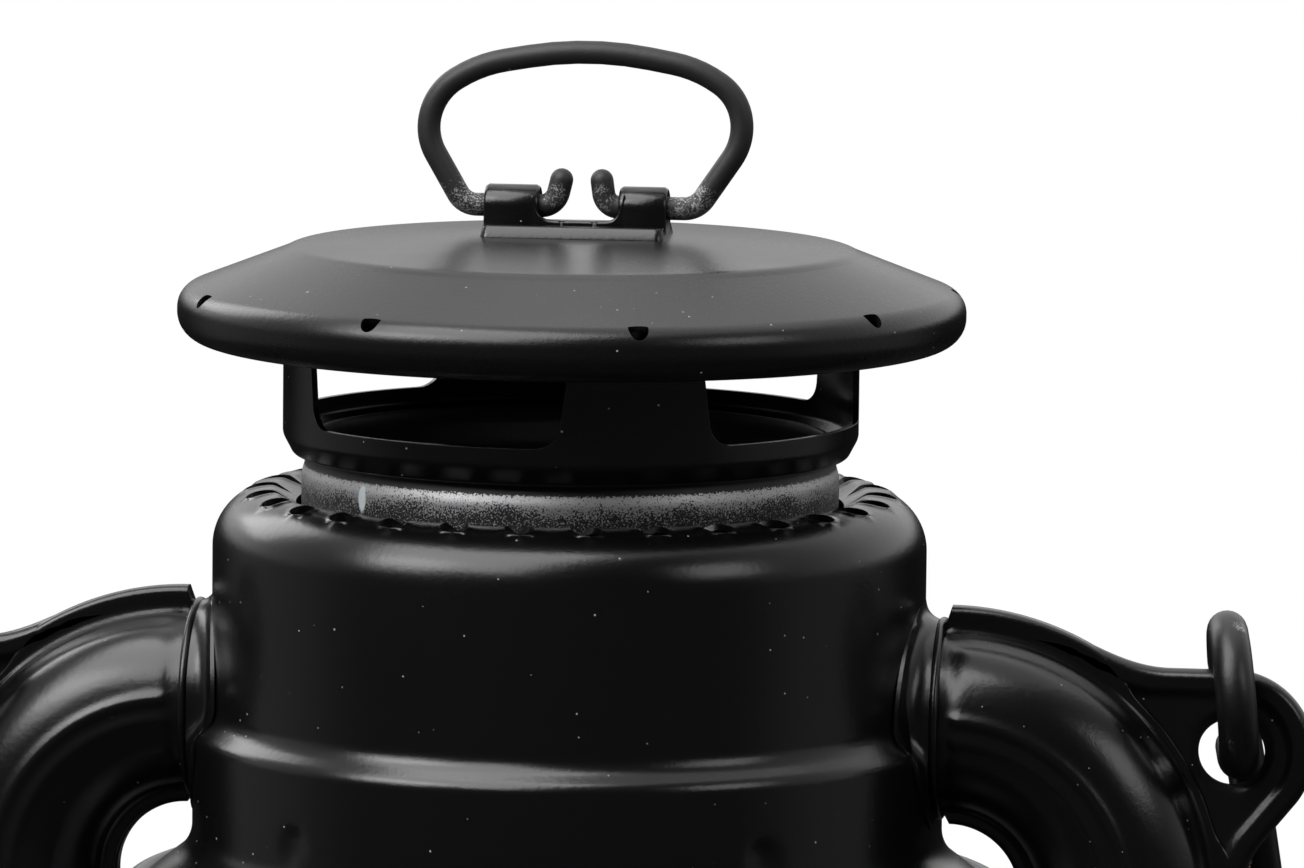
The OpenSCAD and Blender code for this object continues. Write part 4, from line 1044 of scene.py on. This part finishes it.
def neck_grid(s, line, gauge):
    """A neck on the hood's right side. It starts on the hood's wall, whose radius at each height comes from
    the hood's line, with a hollow corner, and ends in a rolled bead. At d hollows from the wall, d from 0
    to 1, the corner stands 1 - sqrt(1 - (1 - d)²) hollows over the neck."""
    neck_z = s.top - s.neck_drop
    a = around(112)
    hollow = 2.0 * MM
    bead = 0.4 * MM
    wall_r = np.interp(neck_z + s.neck_r * np.cos(a), line[::-1, 1], line[::-1, 0])
    wall_x = np.sqrt(wall_r ** 2 - (s.neck_r * np.sin(a)) ** 2)
    v = np.linspace(0.0, 1.0, 14)[:, None] ** 1.4
    root = wall_x - 0.4 * MM
    x = root + (s.neck_end - 2 * bead - root) * v
    d = np.clip((x - wall_x) / hollow, 0.0, 1.0)
    r = s.neck_r + hollow * (1.0 - np.sqrt(np.clip(1.0 - (1.0 - d) ** 2, 0.0, 1.0)))
    roll = np.linspace(-0.45, 0.62, 12)[:, None] * math.pi
    bead_x = s.neck_end - bead + bead * np.sin(roll) + 0.0 * a
    bead_r = s.neck_r - 0.1 * MM + bead * np.cos(roll) + 0.0 * a
    inner_x = np.array([[s.neck_end - 0.2 * MM], [s.neck_end - bead], [s.wall_r - 2.0 * MM]]) + 0.0 * a
    inner_r = s.neck_r - gauge + 0.0 * inner_x
    x = np.concatenate([x, bead_x, inner_x])
    r = np.concatenate([r, bead_r, inner_r])
    return np.stack([x, r * np.sin(a), neck_z + r * np.cos(a)], 2)


class LANTERN_OT_hood(bpy.types.Operator):
    """Hood with louvre slots on its shoulder, a step, stop dimples, a rolled edge and two necks"""

    bl_idname = "lantern.hood"
    bl_label = "Hood"

    def execute(self, context):
        s = context.scene.lantern_hood
        gauge = context.scene.lantern_chimney.gauge
        plain = hood_line(s)
        start = 0.7 * MM
        line, run = with_rows(plain, start, start + s.louvre_l, 26)
        q = np.clip((run - start) / s.louvre_l, 0.0, 1.0)
        # A teardrop whose greatest value is 1
        teardrop = 1.52 * q ** 0.8 * np.sqrt(1.0 - q ** 4)
        half = s.louvre_half * teardrop
        beyond = np.maximum(np.maximum(start - run, run - start - s.louvre_l), 0.0)[:, None]

        def lip(sideways):
            """Rise of the sheet at a sideways distance from a slot's edge."""
            return s.lip_rise * (0.25 + 0.75 * q[:, None]) * bell(np.hypot(sideways, beyond), 0.0, s.lip_w)

        grids = pierced(line, s.louvre_count, s.louvre_turn, half, s.louvre_skew * (q - 0.5), lip, 10, 1.5)
        for front in (-math.pi / 2, math.pi / 2):
            for side in (-1.0, 1.0):
                middle = polar(s.wall_r + s.step_w, front + side * s.dimple_turn, s.top - s.dimple_drop)
                gap = np.clip(np.linalg.norm(grids - middle, axis=-1) / s.dimple_r, 0.0, 1.0)
                dent = s.dimple_depth * (0.5 + 0.5 * np.cos(math.pi * gap))
                grids[..., :2] *= (1.0 - dent / np.hypot(grids[..., 0], grids[..., 1]))[..., None]
        inner = (0.0, 0.0, s.top - s.step_drop)
        fitted("hood_shell", [sheet(g) for g in grids], "frame", "black_enamel", "hood",
               sharp=50.0, outward=inner, thick=gauge, edge=0.1 * MM)
        edge = turned(circle(s.edge_r) + np.array(hood_edge(s)), 160)
        neck = neck_grid(s, plain, gauge)
        parts = [ring(edge), pipe(neck), pipe(flipped(neck, 0))]
        fitted("hood_edge_and_necks", parts, "frame", "black_enamel", "hood", sharp=50.0)
        return {"FINISHED"}


def tube_path(s, hood):
    """Middle line of the right tube: a stub in the hood's neck, the bend, and the leg that leans in to the
    tank. With it come its outward direction, the distance from the neck's edge, the bend's centre and the
    bend's lower end."""
    bend_z = hood.top - hood.neck_drop - s.bend_r
    a = np.linspace(math.pi / 2, -s.lean, 70)
    out = compass(a)
    middle = np.array([s.bend_x, bend_z])
    bend = middle + s.bend_r * out
    stub_x = np.linspace(s.bend_x - 3.0 * MM, s.bend_x, 5)[:-1]
    stub = np.stack([stub_x, np.full(len(stub_x), bend_z + s.bend_r)], 1)
    foot = low("right_tube_front")[2] + s.tube_r * math.sin(s.lean)
    run = np.linspace(0.0, 1.0, 60)[1:] ** 1.15 * (bend[-1, 1] - foot) / math.cos(s.lean)
    leg = bend[-1] + run[:, None] * np.array([-math.sin(s.lean), -math.cos(s.lean)])
    path = np.concatenate([stub, bend, leg])
    outward = np.concatenate([np.repeat(out[:1], len(stub), 0), out, np.repeat(out[-1:], len(leg), 0)])
    along = run_length(path) - (hood.neck_end - path[0, 0])
    return path, outward, along, middle, bend[-1]


def half_tube_grid(s, hood):
    """Front half of the right tube: a half ring with a hem on each seam, carried along the tube's path. Two
    ribs run along its front, and grooves part the hem and the neck's edge from the panel with the ribs. All
    of these are bell curves of the angle round the tube or of the distance along it."""
    path, outward, along, middle, _ = tube_path(s, hood)
    z = path[:, 1]
    direction = np.degrees(np.arctan2(z - middle[1], path[:, 0] - middle[0]))
    started = smooth(-0.1 * MM, 0.5 * MM, along)
    above_foot = smooth(s.hem_foot - 1.0 * MM, s.hem_foot + 1.0 * MM, z)
    in_ear = smooth(58.0, 46.0, direction) * smooth(6.0, 16.0, direction)
    outer = (s.hem_w * started * above_foot * (1.0 - 0.62 * in_ear))[:, None] + 0.02 * MM
    inner = (s.inner_hem_w * started * above_foot)[:, None] + 0.02 * MM
    share = np.array([1.0, 1.0, 0.97, 0.88, 0.74, 0.5, 0.3, 0.14, 0.05])
    rise = np.array([0.0, 0.4, 0.72, 0.93, 1.0, 1.0, 1.0, 1.03, 1.1]) * s.hem_t
    seam = math.asin(1.18 * s.hem_t / s.tube_r)
    a = np.linspace(seam, math.pi - seam, 96)
    turn = np.degrees(a)
    pressed = (smooth(0.5 * MM, 1.6 * MM, along) * smooth(s.hem_foot, s.hem_foot + 14.0 * MM, z))[:, None]
    rib = s.rib_rise * (bell(turn, 83.0, 4.2) + 0.8 * bell(turn, 96.4, 4.2))
    groove = s.groove_depth * bell(turn, 24.0, 8.0)
    by_neck = s.neck_groove * bell(along, 0.8 * MM, 0.6 * MM)[:, None]
    r = s.tube_r + pressed * (rib - groove) - by_neck
    inside = (s.tube_r - s.wall) * compass(np.linspace(math.pi, 0.0, 40))
    flat = 0.0 * outer
    u = np.concatenate([
        s.tube_r + outer * share, r * np.cos(a), -s.tube_r - inner * share[::-1], inside[:, 0] + flat,
    ], 1)
    y = np.concatenate([rise + flat, r * np.sin(a), rise[::-1] + flat, inside[:, 1] + flat], 1)
    x = path[:, :1] + u * outward[:, :1]
    height = path[:, 1:] + u * outward[:, 1:]
    return np.stack([x, -y, height], 2)


def ear_place(s):
    """Sideways place and height of the right ear's hole from the centre of the tube's bend."""
    return (s.bend_r + s.tube_r + s.ear_offset) * compass(s.ear_angle)


def ear_grid(s, hood):
    """Front half of the right ear, a polar grid round its hole. Each ray ends on the ear's outline, found
    by halving: the outer circle, the top line or the slanted lower line, blended with the tube's hem, or
    the tube itself. A raised hem follows the outline, and the web inside it dips to the hole."""
    _, _, _, middle, leg_top = tube_path(s, hood)
    centre = middle + ear_place(s)
    low_normal = compass(s.ear_slant - math.pi / 2)
    low_run = -compass(s.ear_slant)
    leg_out = compass(-s.lean)
    hem_r = s.bend_r + s.tube_r + s.hem_w
    rise = centre[1] + s.ear_r - middle[1]
    top_corner = middle + np.array([math.sqrt(hem_r ** 2 - rise ** 2), rise])
    start = centre + s.ear_r * low_normal - middle
    along = -start @ low_run - math.sqrt((start @ low_run) ** 2 - start @ start + hem_r ** 2)
    low_corner = middle + start + along * low_run
    blend, hem_hold, hem_fall = 2.8 * MM, 5.0 * MM, 0.16

    def edge_distance(p):
        """Distance from the outline of the ear and the hem beside it, positive inside. h blends the two, and
        more than hem_hold from the ear's corners the hem draws in by a share hem_fall of the way."""
        a = p - centre
        outside = (low_normal[0] * a[..., 1] - low_normal[1] * a[..., 0] > 0.0) & (a[..., 0] > 0.0)
        lines = s.ear_r - np.maximum(a[..., 1], a @ low_normal)
        ear = np.where(outside, s.ear_r - np.linalg.norm(a, axis=-1), lines)
        away = np.minimum(np.linalg.norm(p - top_corner, axis=-1), np.linalg.norm(p - low_corner, axis=-1))
        hem = hem_r - np.linalg.norm(p - middle, axis=-1) - hem_fall * np.clip(away - hem_hold, 0.0, None)
        h = np.clip(0.5 + 0.5 * (ear - hem) / blend, 0.0, 1.0)
        return hem + (ear - hem) * h + blend * h * (1.0 - h)

    def tube_distance(p):
        """Distance from a line just inside the tube's wall, positive outside it."""
        on_bend = np.linalg.norm(p - middle, axis=-1) - s.bend_r
        on_leg = (p - leg_top) @ leg_out
        return np.where(p[..., 1] > leg_top[1], on_bend, on_leg) - s.tube_r + 0.9 * MM

    ray = compass(around(288))
    near, far = np.full(len(ray), s.ear_hole_r), np.full(len(ray), 4 * s.ear_r)
    for _ in range(40):
        half = (near + far) / 2
        p = centre + half[:, None] * ray
        within = np.minimum(edge_distance(p), tube_distance(p)) > 0.0
        near, far = np.where(within, half, near), np.where(within, far, half)
    t = 1.0 - (1.0 - np.linspace(0.0, 1.0, 34)[:, None]) ** 1.8
    r = s.ear_hole_r + (near - s.ear_hole_r) * t
    p = centre + r[..., None] * ray
    edge = np.clip(edge_distance(p), 0.0, None)
    hem = smooth(s.hem_w + 0.5 * MM, s.hem_w - 0.6 * MM, edge)
    y = s.web_t + (s.hem_t - s.web_t) * hem
    y *= np.sqrt(1.0 - (1.0 - np.clip(edge / (0.9 * MM), 0.0, 1.0)) ** 2)
    y -= 0.3 * MM * smooth(1.1 * MM, 0.0, r - s.ear_hole_r)
    front = np.stack([p[..., 0], -np.clip(y, 0.0, None), p[..., 1]], 2)
    seam = front * np.array([1.0, 0.0, 1.0])
    return np.concatenate([front, seam[::-1]])


class LANTERN_OT_tubes(bpy.types.Operator):
    """Side tubes: four pressed half shells with hemmed seams, ribs and pierced ears"""

    bl_idname = "lantern.tubes"
    bl_label = "Side tubes"

    def execute(self, context):
        s = context.scene.lantern_tubes
        hood = context.scene.lantern_hood
        shell, ear = half_tube_grid(s, hood), ear_grid(s, hood)
        for side in ("right", "left"):
            for end in ("front", "rear"):
                parts = [pipe(shell), ring(ear)]
                if side == "left":
                    parts = [(flipped(g, 0), *wrap) for g, *wrap in parts]
                if end == "rear":
                    parts = [(flipped(g, 1), *wrap) for g, *wrap in parts]
                fitted(f"{side}_{end}_shell", parts, "frame", "black_enamel", f"{side}_tube_{end}")
        return {"FINISHED"}


def hook_middle(s, tubes):
    """Sideways place and height of the right hook's middle, over the hole of the right ear."""
    return tubes.bend_x + ear_place(tubes)[0], high("bail_handle")[2] - s.hook_r - s.bail_r


class LANTERN_OT_bail(bpy.types.Operator):
    """Bail: one bent wire with a hook through each ear, two flared arms and a round bow"""

    bl_idname = "lantern.bail"
    bl_label = "Bail"

    def execute(self, context):
        s = context.scene.lantern_wires
        ear_x, hook_z = hook_middle(s, context.scene.lantern_tubes)
        half_bow = (ear_x + s.bail_arm * math.sin(s.bail_flare)) / math.cos(s.bail_flare)
        toe = s.hook_r * math.tan(s.hook_toe)
        lean = s.hook_r * math.tan(s.hook_lean)
        # A hook is an arc across the X axis, sheared along X by its toe and its lean
        a = np.linspace(s.bail_lean + s.hook_turn, s.bail_lean, 90)
        offset = toe * np.cos(a) + lean * np.sin(a)
        hook = np.column_stack([ear_x - offset, s.hook_r * compass(a)])
        hook_side = np.column_stack([0.0 * a, compass(a)])
        tilt = np.array(Matrix.Rotation(s.bail_lean - math.pi / 2, 3, "X"))
        run = np.linspace(0.0, s.bail_arm, 14)[1:]
        arm_x = ear_x + run * math.sin(s.bail_flare) - offset[-1] * (1.0 - run / s.bail_arm) ** 2
        arm = np.stack([arm_x, run * math.cos(s.bail_flare), 0.0 * run], 1)
        bow_y = s.bail_arm * math.cos(s.bail_flare) + half_bow * math.sin(s.bail_flare)
        b = np.linspace(-s.bail_flare, math.pi / 2, 60)[1:]
        bow = polar(half_bow, b, 0.0) + np.array([0.0, bow_y, 0.0])
        flat = np.concatenate([arm, bow]) + np.array([0.0, 0.0, s.hook_r])
        plane_side = np.repeat((tilt @ np.array([0.0, 0.0, 1.0]))[None], len(flat), 0)
        half = np.concatenate([hook, flat @ tilt.T])
        side = np.concatenate([hook_side, plane_side])
        other = flipped(half[:-1], 0)[::-1]
        path = np.concatenate([half, other]) + np.array([0.0, 0.0, hook_z])
        side = np.concatenate([side, side[:-1][::-1]])
        wire = wire_grid(path, side, s.bail_r)
        fitted("bail_wire", [pipe(wire)], "bail", "wire_enamel", "bail_handle", look="bail")
        return {"FINISHED"}


class LANTERN_OT_guards(bpy.types.Operator):
    """Guard wires that cross before and behind the globe"""

    bl_idname = "lantern.guards"
    bl_label = "Guards"

    def execute(self, context):
        s = context.scene.lantern_wires
        tubes = context.scene.lantern_tubes
        middle = (low("front_guard")[2] + high("front_guard")[2]) / 2
        end_y = tubes.tube_r + 0.6 * s.guard_r
        half = s.guard_half
        apex = -low("front_guard")[1] - s.guard_r
        grids = []
        for slant, reach in ((s.guard_slant, apex), (-s.guard_slant, apex - 2 * s.guard_r - 0.05 * MM)):
            # An arc through both ends and the apex has the radius (half² + sag²) / (2 sag)
            sag = reach - end_y
            r = (half ** 2 + sag ** 2) / (2 * sag)
            turn = 2 * math.atan(sag / half)
            a = np.linspace(-math.pi / 2 - turn, -math.pi / 2 + turn, 90)
            path = polar(r, a, 0.0) + np.array([0.0, r - reach, 0.0])
            grid = wire_grid(path, (0.0, 0.0, 1.0), s.guard_r)
            lean = Matrix.Translation((0, 0, middle)) @ Matrix.Rotation(slant, 4, "Y")
            grids.append(placed(grid, lean))
        for end in ("front", "rear"):
            parts = [pipe(flipped(g, 1) if end == "rear" else g) for g in grids]
            fitted(f"{end}_guard_wires", parts, "frame", "wire_enamel", f"{end}_guard")
        return {"FINISHED"}


class LANTERN_OT_tank(bpy.types.Operator):
    """Fuel tank with its seam, and the base with its foot ring"""

    bl_idname = "lantern.tank"
    bl_label = "Tank"

    def execute(self, context):
        s = context.scene.lantern_base
        gauge = context.scene.lantern_chimney.gauge
        r, _, top = high("tank_shell")
        line = finer(bent_line([
            (s.mouth_r, top),
            (r - s.slope_w, top - s.plate_drop, 4.0 * MM),
            (r - 2 * s.seam_step, top - s.shoulder_drop, 8.0 * MM),
            (r - s.seam_step, s.seam_z + 1.5 * MM, 1.0 * MM),
            (r, s.seam_z, 1.0 * MM),
            (r, gauge),
        ]), 2.0 * MM)
        wall = turned(sheet_section(line, -gauge), 192)
        fitted("tank_body", [ring(wall)], "frame", "black_enamel", "tank_shell")
        pan_r, _, pan_top = high("base_pan")
        rim_r = pan_r - gauge
        foot_r = rim_r - s.foot_ring_w
        floor = pan_top - s.rim_h + s.floor_lift
        line = finer(bent_line([
            (AXIS_R, floor + gauge),
            (foot_r - s.floor_lift / 2, floor + gauge, 1.5 * MM),
            (foot_r, gauge, 1.0 * MM),
            (rim_r, gauge, 0.4 * MM),
            (rim_r, pan_top),
        ]), 3.0 * MM)
        section = np.concatenate([line, moved_line(line, -gauge)[::-1]])
        section[-1, 0] = AXIS_R
        fitted("base_dish", [pipe(turned(section, 192))], "frame", "black_enamel", "base_pan")
        return {"FINISHED"}


class LANTERN_OT_globe(bpy.types.Operator):
    """Blown glass globe with fire-polished edges"""

    bl_idname = "lantern.globe"
    bl_label = "Globe"

    def execute(self, context):
        s = context.scene.lantern_base
        foot, top = low("globe")[2], high("globe")[2]
        line = finer(bent_line([
            (s.globe_foot_r, foot + 0.3 * s.globe_wall),
            (s.globe_foot_r + 1.0 * MM, foot + 10.0 * MM, 24.0 * MM),
            (s.globe_belly_r + 1.0 * MM, foot + 42.0 * MM, 38.0 * MM),
            (s.globe_top_r + 4.0 * MM, top - 28.0 * MM, 60.0 * MM),
            (s.globe_top_r, top - 12.0 * MM, 20.0 * MM),
            (s.globe_top_r, top - 0.3 * s.globe_wall),
        ], math.radians(2.0)), 2.0 * MM)
        wall = turned(sheet_section(line, s.globe_wall))
        fitted("glass_globe", [ring(wall)], "globe_carrier", "clear_glass", "globe", sharp=60.0)
        return {"FINISHED"}


class LANTERN_OT_fittings(bpy.types.Operator):
    """Finishes of the burner, the filler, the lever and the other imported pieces"""

    bl_idname = "lantern.fittings"
    bl_label = "Fittings"

    def execute(self, context):
        for row in frame["record"]["subparts"]:
            made = frame["nodes"][row["node"]]
            made.data.materials.clear()
            made.data.materials.append(LOOKS[row["material_slot"]])
        return {"FINISHED"}


class LANTERN_OT_finishes(bpy.types.Operator):
    """Enamel, worn wire, bare steel, brass, cotton, rubber and glass"""

    bl_idname = "lantern.finishes"
    bl_label = "Finishes"

    def execute(self, context):
        looks = context.scene.lantern_finish
        scene = context.scene
        s = scene.lantern_wires
        pivot = joint("ring_fold")["pos_m"][2]
        worn = []
        for side in (-1.0, 1.0):
            bend_x = s.ring_shift + side * (s.bracket_half + s.ring_gap)
            tail_x = s.ring_shift + side * s.tail_x
            worn.append(((bend_x, 0.0, pivot), 5.0 * MM))
            worn.append(((tail_x, -s.ring_r, pivot + 0.4 * s.tail_rise), 2.2 * MM))
        hook_x, hook_z = hook_middle(s, scene.lantern_tubes)
        nick = (hook_x + 0.4 * s.bail_r, -0.5 * s.hook_r, hook_z + 0.85 * s.hook_r + s.bail_r)
        LOOKS.update({
            "black_enamel": enamel_finish(looks, "black_enamel"),
            "cap": enamel_finish(looks, "cap_enamel", dull=0.06),
            # The ring's pale=0.022 is a painted sheen that greys its black enamel
            "ring": worn_wire_finish(looks, "ring_wire", worn, dull=0.3, pale=0.022),
            "bail": worn_wire_finish(looks, "bail_wire", [(nick, 1.5 * MM)]),
            "wire_enamel": worn_wire_finish(looks, "wire_enamel", []),
            "sleeve": sleeve_finish(looks, scene.lantern_chimney, scene.lantern_hood.top),
            "bare_steel": steel_finish(looks, "bare_steel", shade=1.0, rough=0.3),
            # inner_steel is the bare steel darkened to 0.45: painted shade for the pieces inside the lantern
            "inner_steel": steel_finish(looks, "inner_steel", shade=0.45, rough=0.4),
            "burner_brass": brass_finish(looks),
            "wick_cotton": cotton_finish(looks, high("wick")[2]),
            "gasket_rubber": rubber_finish(looks),
            "clear_glass": glass_finish(looks),
        })
        return {"FINISHED"}


def sky(s):
    """World. The camera and rays through glass see white. Mirrored rays see white above the horizon behind
    the lantern, and a dim band below it. The light comes from behind and beside, and the front is dark."""
    recipe = Recipe("studio", "worlds")
    _, forward, up = recipe.axes(recipe.out("ShaderNodeTexCoord", output="Generated"))
    camera, clear, shiny = recipe.rays()
    pale = s.dark_sky + (s.pale_sky - s.dark_sky) * forward.step(-0.6, 0.2)
    above = up.step(0.03, 0.16)
    white = camera.math("MAXIMUM", camera, clear)
    white = white.math("MAXIMUM", white, shiny * above * forward.step(0.1, 0.7))
    beside = (0.05 + 0.13 * forward.step(-0.5, 0.0)) * (1.0 - forward.step(0.45, 0.8)) + 0.01
    below = shiny * (1.0 - above)
    strength = white + (1.0 - white) * (below * beside + (1.0 - below) * pale)
    shade = recipe.out("ShaderNodeBackground", None, {"Color": WHITE, "Strength": strength})
    return recipe.end(shade, "ShaderNodeOutputWorld")


def floor_finish(s):
    """Pale floor. Towards its rim the camera and rays through glass see plain white, and to mirrored rays
    the whole floor is dark."""
    recipe = Recipe("floor")
    x, y, _ = recipe.axes(recipe.place())
    fade = ((x * x + y * y) ** 0.5).step(0.35 * s.floor_r, 0.95 * s.floor_r)
    camera, clear, shiny = recipe.rays()
    seen = camera.math("MAXIMUM", camera, clear)
    ground = recipe.out("ShaderNodeBsdfDiffuse", None, {"Color": (0.62, 0.62, 0.62, 1.0)})
    white = recipe.out("ShaderNodeEmission", None, {"Color": WHITE, "Strength": 1.0})
    dark = recipe.out("ShaderNodeEmission", None, {"Color": WHITE, "Strength": 0.03})
    lit = recipe.out("ShaderNodeMixShader", None, {0: seen * fade, 1: ground, 2: white})
    return recipe.end(recipe.out("ShaderNodeMixShader", None, {0: shiny * (1.0 - clear), 1: lit, 2: dark}))


def softbox(name, place, width, power):
    """A square lamp that looks at the lantern's upper part."""
    lamp = bpy.data.lights.new(name, "AREA")
    lamp.shape = "SQUARE"
    lamp.size = width
    lamp.energy = power
    made = bpy.data.objects.new(name, lamp)
    made.location = place
    aim = Vector((0.0, 0.0, 0.2))
    made.rotation_euler = (aim - Vector(place)).to_track_quat("-Z", "Y").to_euler()
    bpy.context.scene.collection.objects.link(made)


class LANTERN_OT_stage(bpy.types.Operator):
    """White studio: camera, floor, world and softboxes"""

    bl_idname = "lantern.stage"
    bl_label = "Stage"

    def execute(self, context):
        s = context.scene.lantern_stage
        scene = context.scene
        scene.view_settings.view_transform = "Standard"
        camera = bpy.data.objects.new("camera", bpy.data.cameras.new("camera"))
        scene.collection.objects.link(camera)
        scene.camera = camera
        camera.data.lens = s.lens
        camera.data.sensor_width = 36.0
        camera.data.clip_start = 0.05
        right = Vector((math.cos(s.azimuth), math.sin(s.azimuth), 0.0))
        flat = math.cos(s.elevation)
        back = Vector((math.sin(s.azimuth) * flat, -math.cos(s.azimuth) * flat, math.sin(s.elevation)))
        aim = right * s.aim_right + Vector((0.0, 0.0, s.aim_z))
        camera.location = aim + back * s.distance
        turn = back.to_track_quat("Z", "Y").to_matrix() @ Matrix.Rotation(s.roll, 3, "Z")
        camera.rotation_euler = turn.to_euler()
        r = np.linspace(0.0, s.floor_r, 5)
        grid = turned(np.stack([r, 0.0 * r], 1), 96)
        ground = piece("floor", [pipe(grid)], floor_finish(s), outward=(0.0, 0.0, -1.0))
        scene.world = sky(s)
        lamps = {
            "key": ((-0.29, -0.36, 0.86), 0.75, s.key_power),
            "top": ((0.05, 0.1, 1.05), 0.9, s.top_power),
            "left": ((-0.62, -0.52, 0.72), 0.4, s.left_power),
            "rim": ((-0.7, 0.6, 0.75), 0.5, s.rim_power),
            "right": ((0.7, -0.4, 0.65), 0.35, s.right_power),
        }
        for name, lamp in lamps.items():
            softbox(f"{name}_softbox", *lamp)
        return {"FINISHED"}


GROUPS = {
    "lantern_chimney": ChimneySizes,
    "lantern_hood": HoodSizes,
    "lantern_tubes": TubeSizes,
    "lantern_wires": WireSizes,
    "lantern_base": BaseSizes,
    "lantern_finish": LanternFinish,
    "lantern_stage": LanternStage,
}
OPERATORS = (
    LANTERN_OT_finishes,
    LANTERN_OT_cap,
    LANTERN_OT_crown,
    LANTERN_OT_sleeve,
    LANTERN_OT_ring,
    LANTERN_OT_hood,
    LANTERN_OT_tubes,
    LANTERN_OT_bail,
    LANTERN_OT_guards,
    LANTERN_OT_tank,
    LANTERN_OT_globe,
    LANTERN_OT_fittings,
    LANTERN_OT_stage,
)


class LANTERN_PT_panel(bpy.types.Panel):
    """Lists the lantern's pieces in the sidebar"""

    bl_label = "Hurricane Lantern"
    bl_space_type = "VIEW_3D"
    bl_region_type = "UI"
    bl_category = "Lantern"

    def draw(self, context):
        for operator in OPERATORS:
            self.layout.operator(operator.bl_idname)


def register():
    for kind in (*GROUPS.values(), *OPERATORS, LANTERN_PT_panel):
        bpy.utils.register_class(kind)
    for name, kind in GROUPS.items():
        setattr(bpy.types.Scene, name, PointerProperty(type=kind))


def unregister():
    for name in GROUPS:
        delattr(bpy.types.Scene, name)
    for kind in (LANTERN_PT_panel, *reversed(OPERATORS), *GROUPS.values()):
        bpy.utils.unregister_class(kind)


def main():
    """Runs every operator in order."""
    register()
    for operator in OPERATORS:
        group, name = operator.bl_idname.split(".")
        getattr(getattr(bpy.ops, group), name)()


if __name__ == "__main__":
    main()
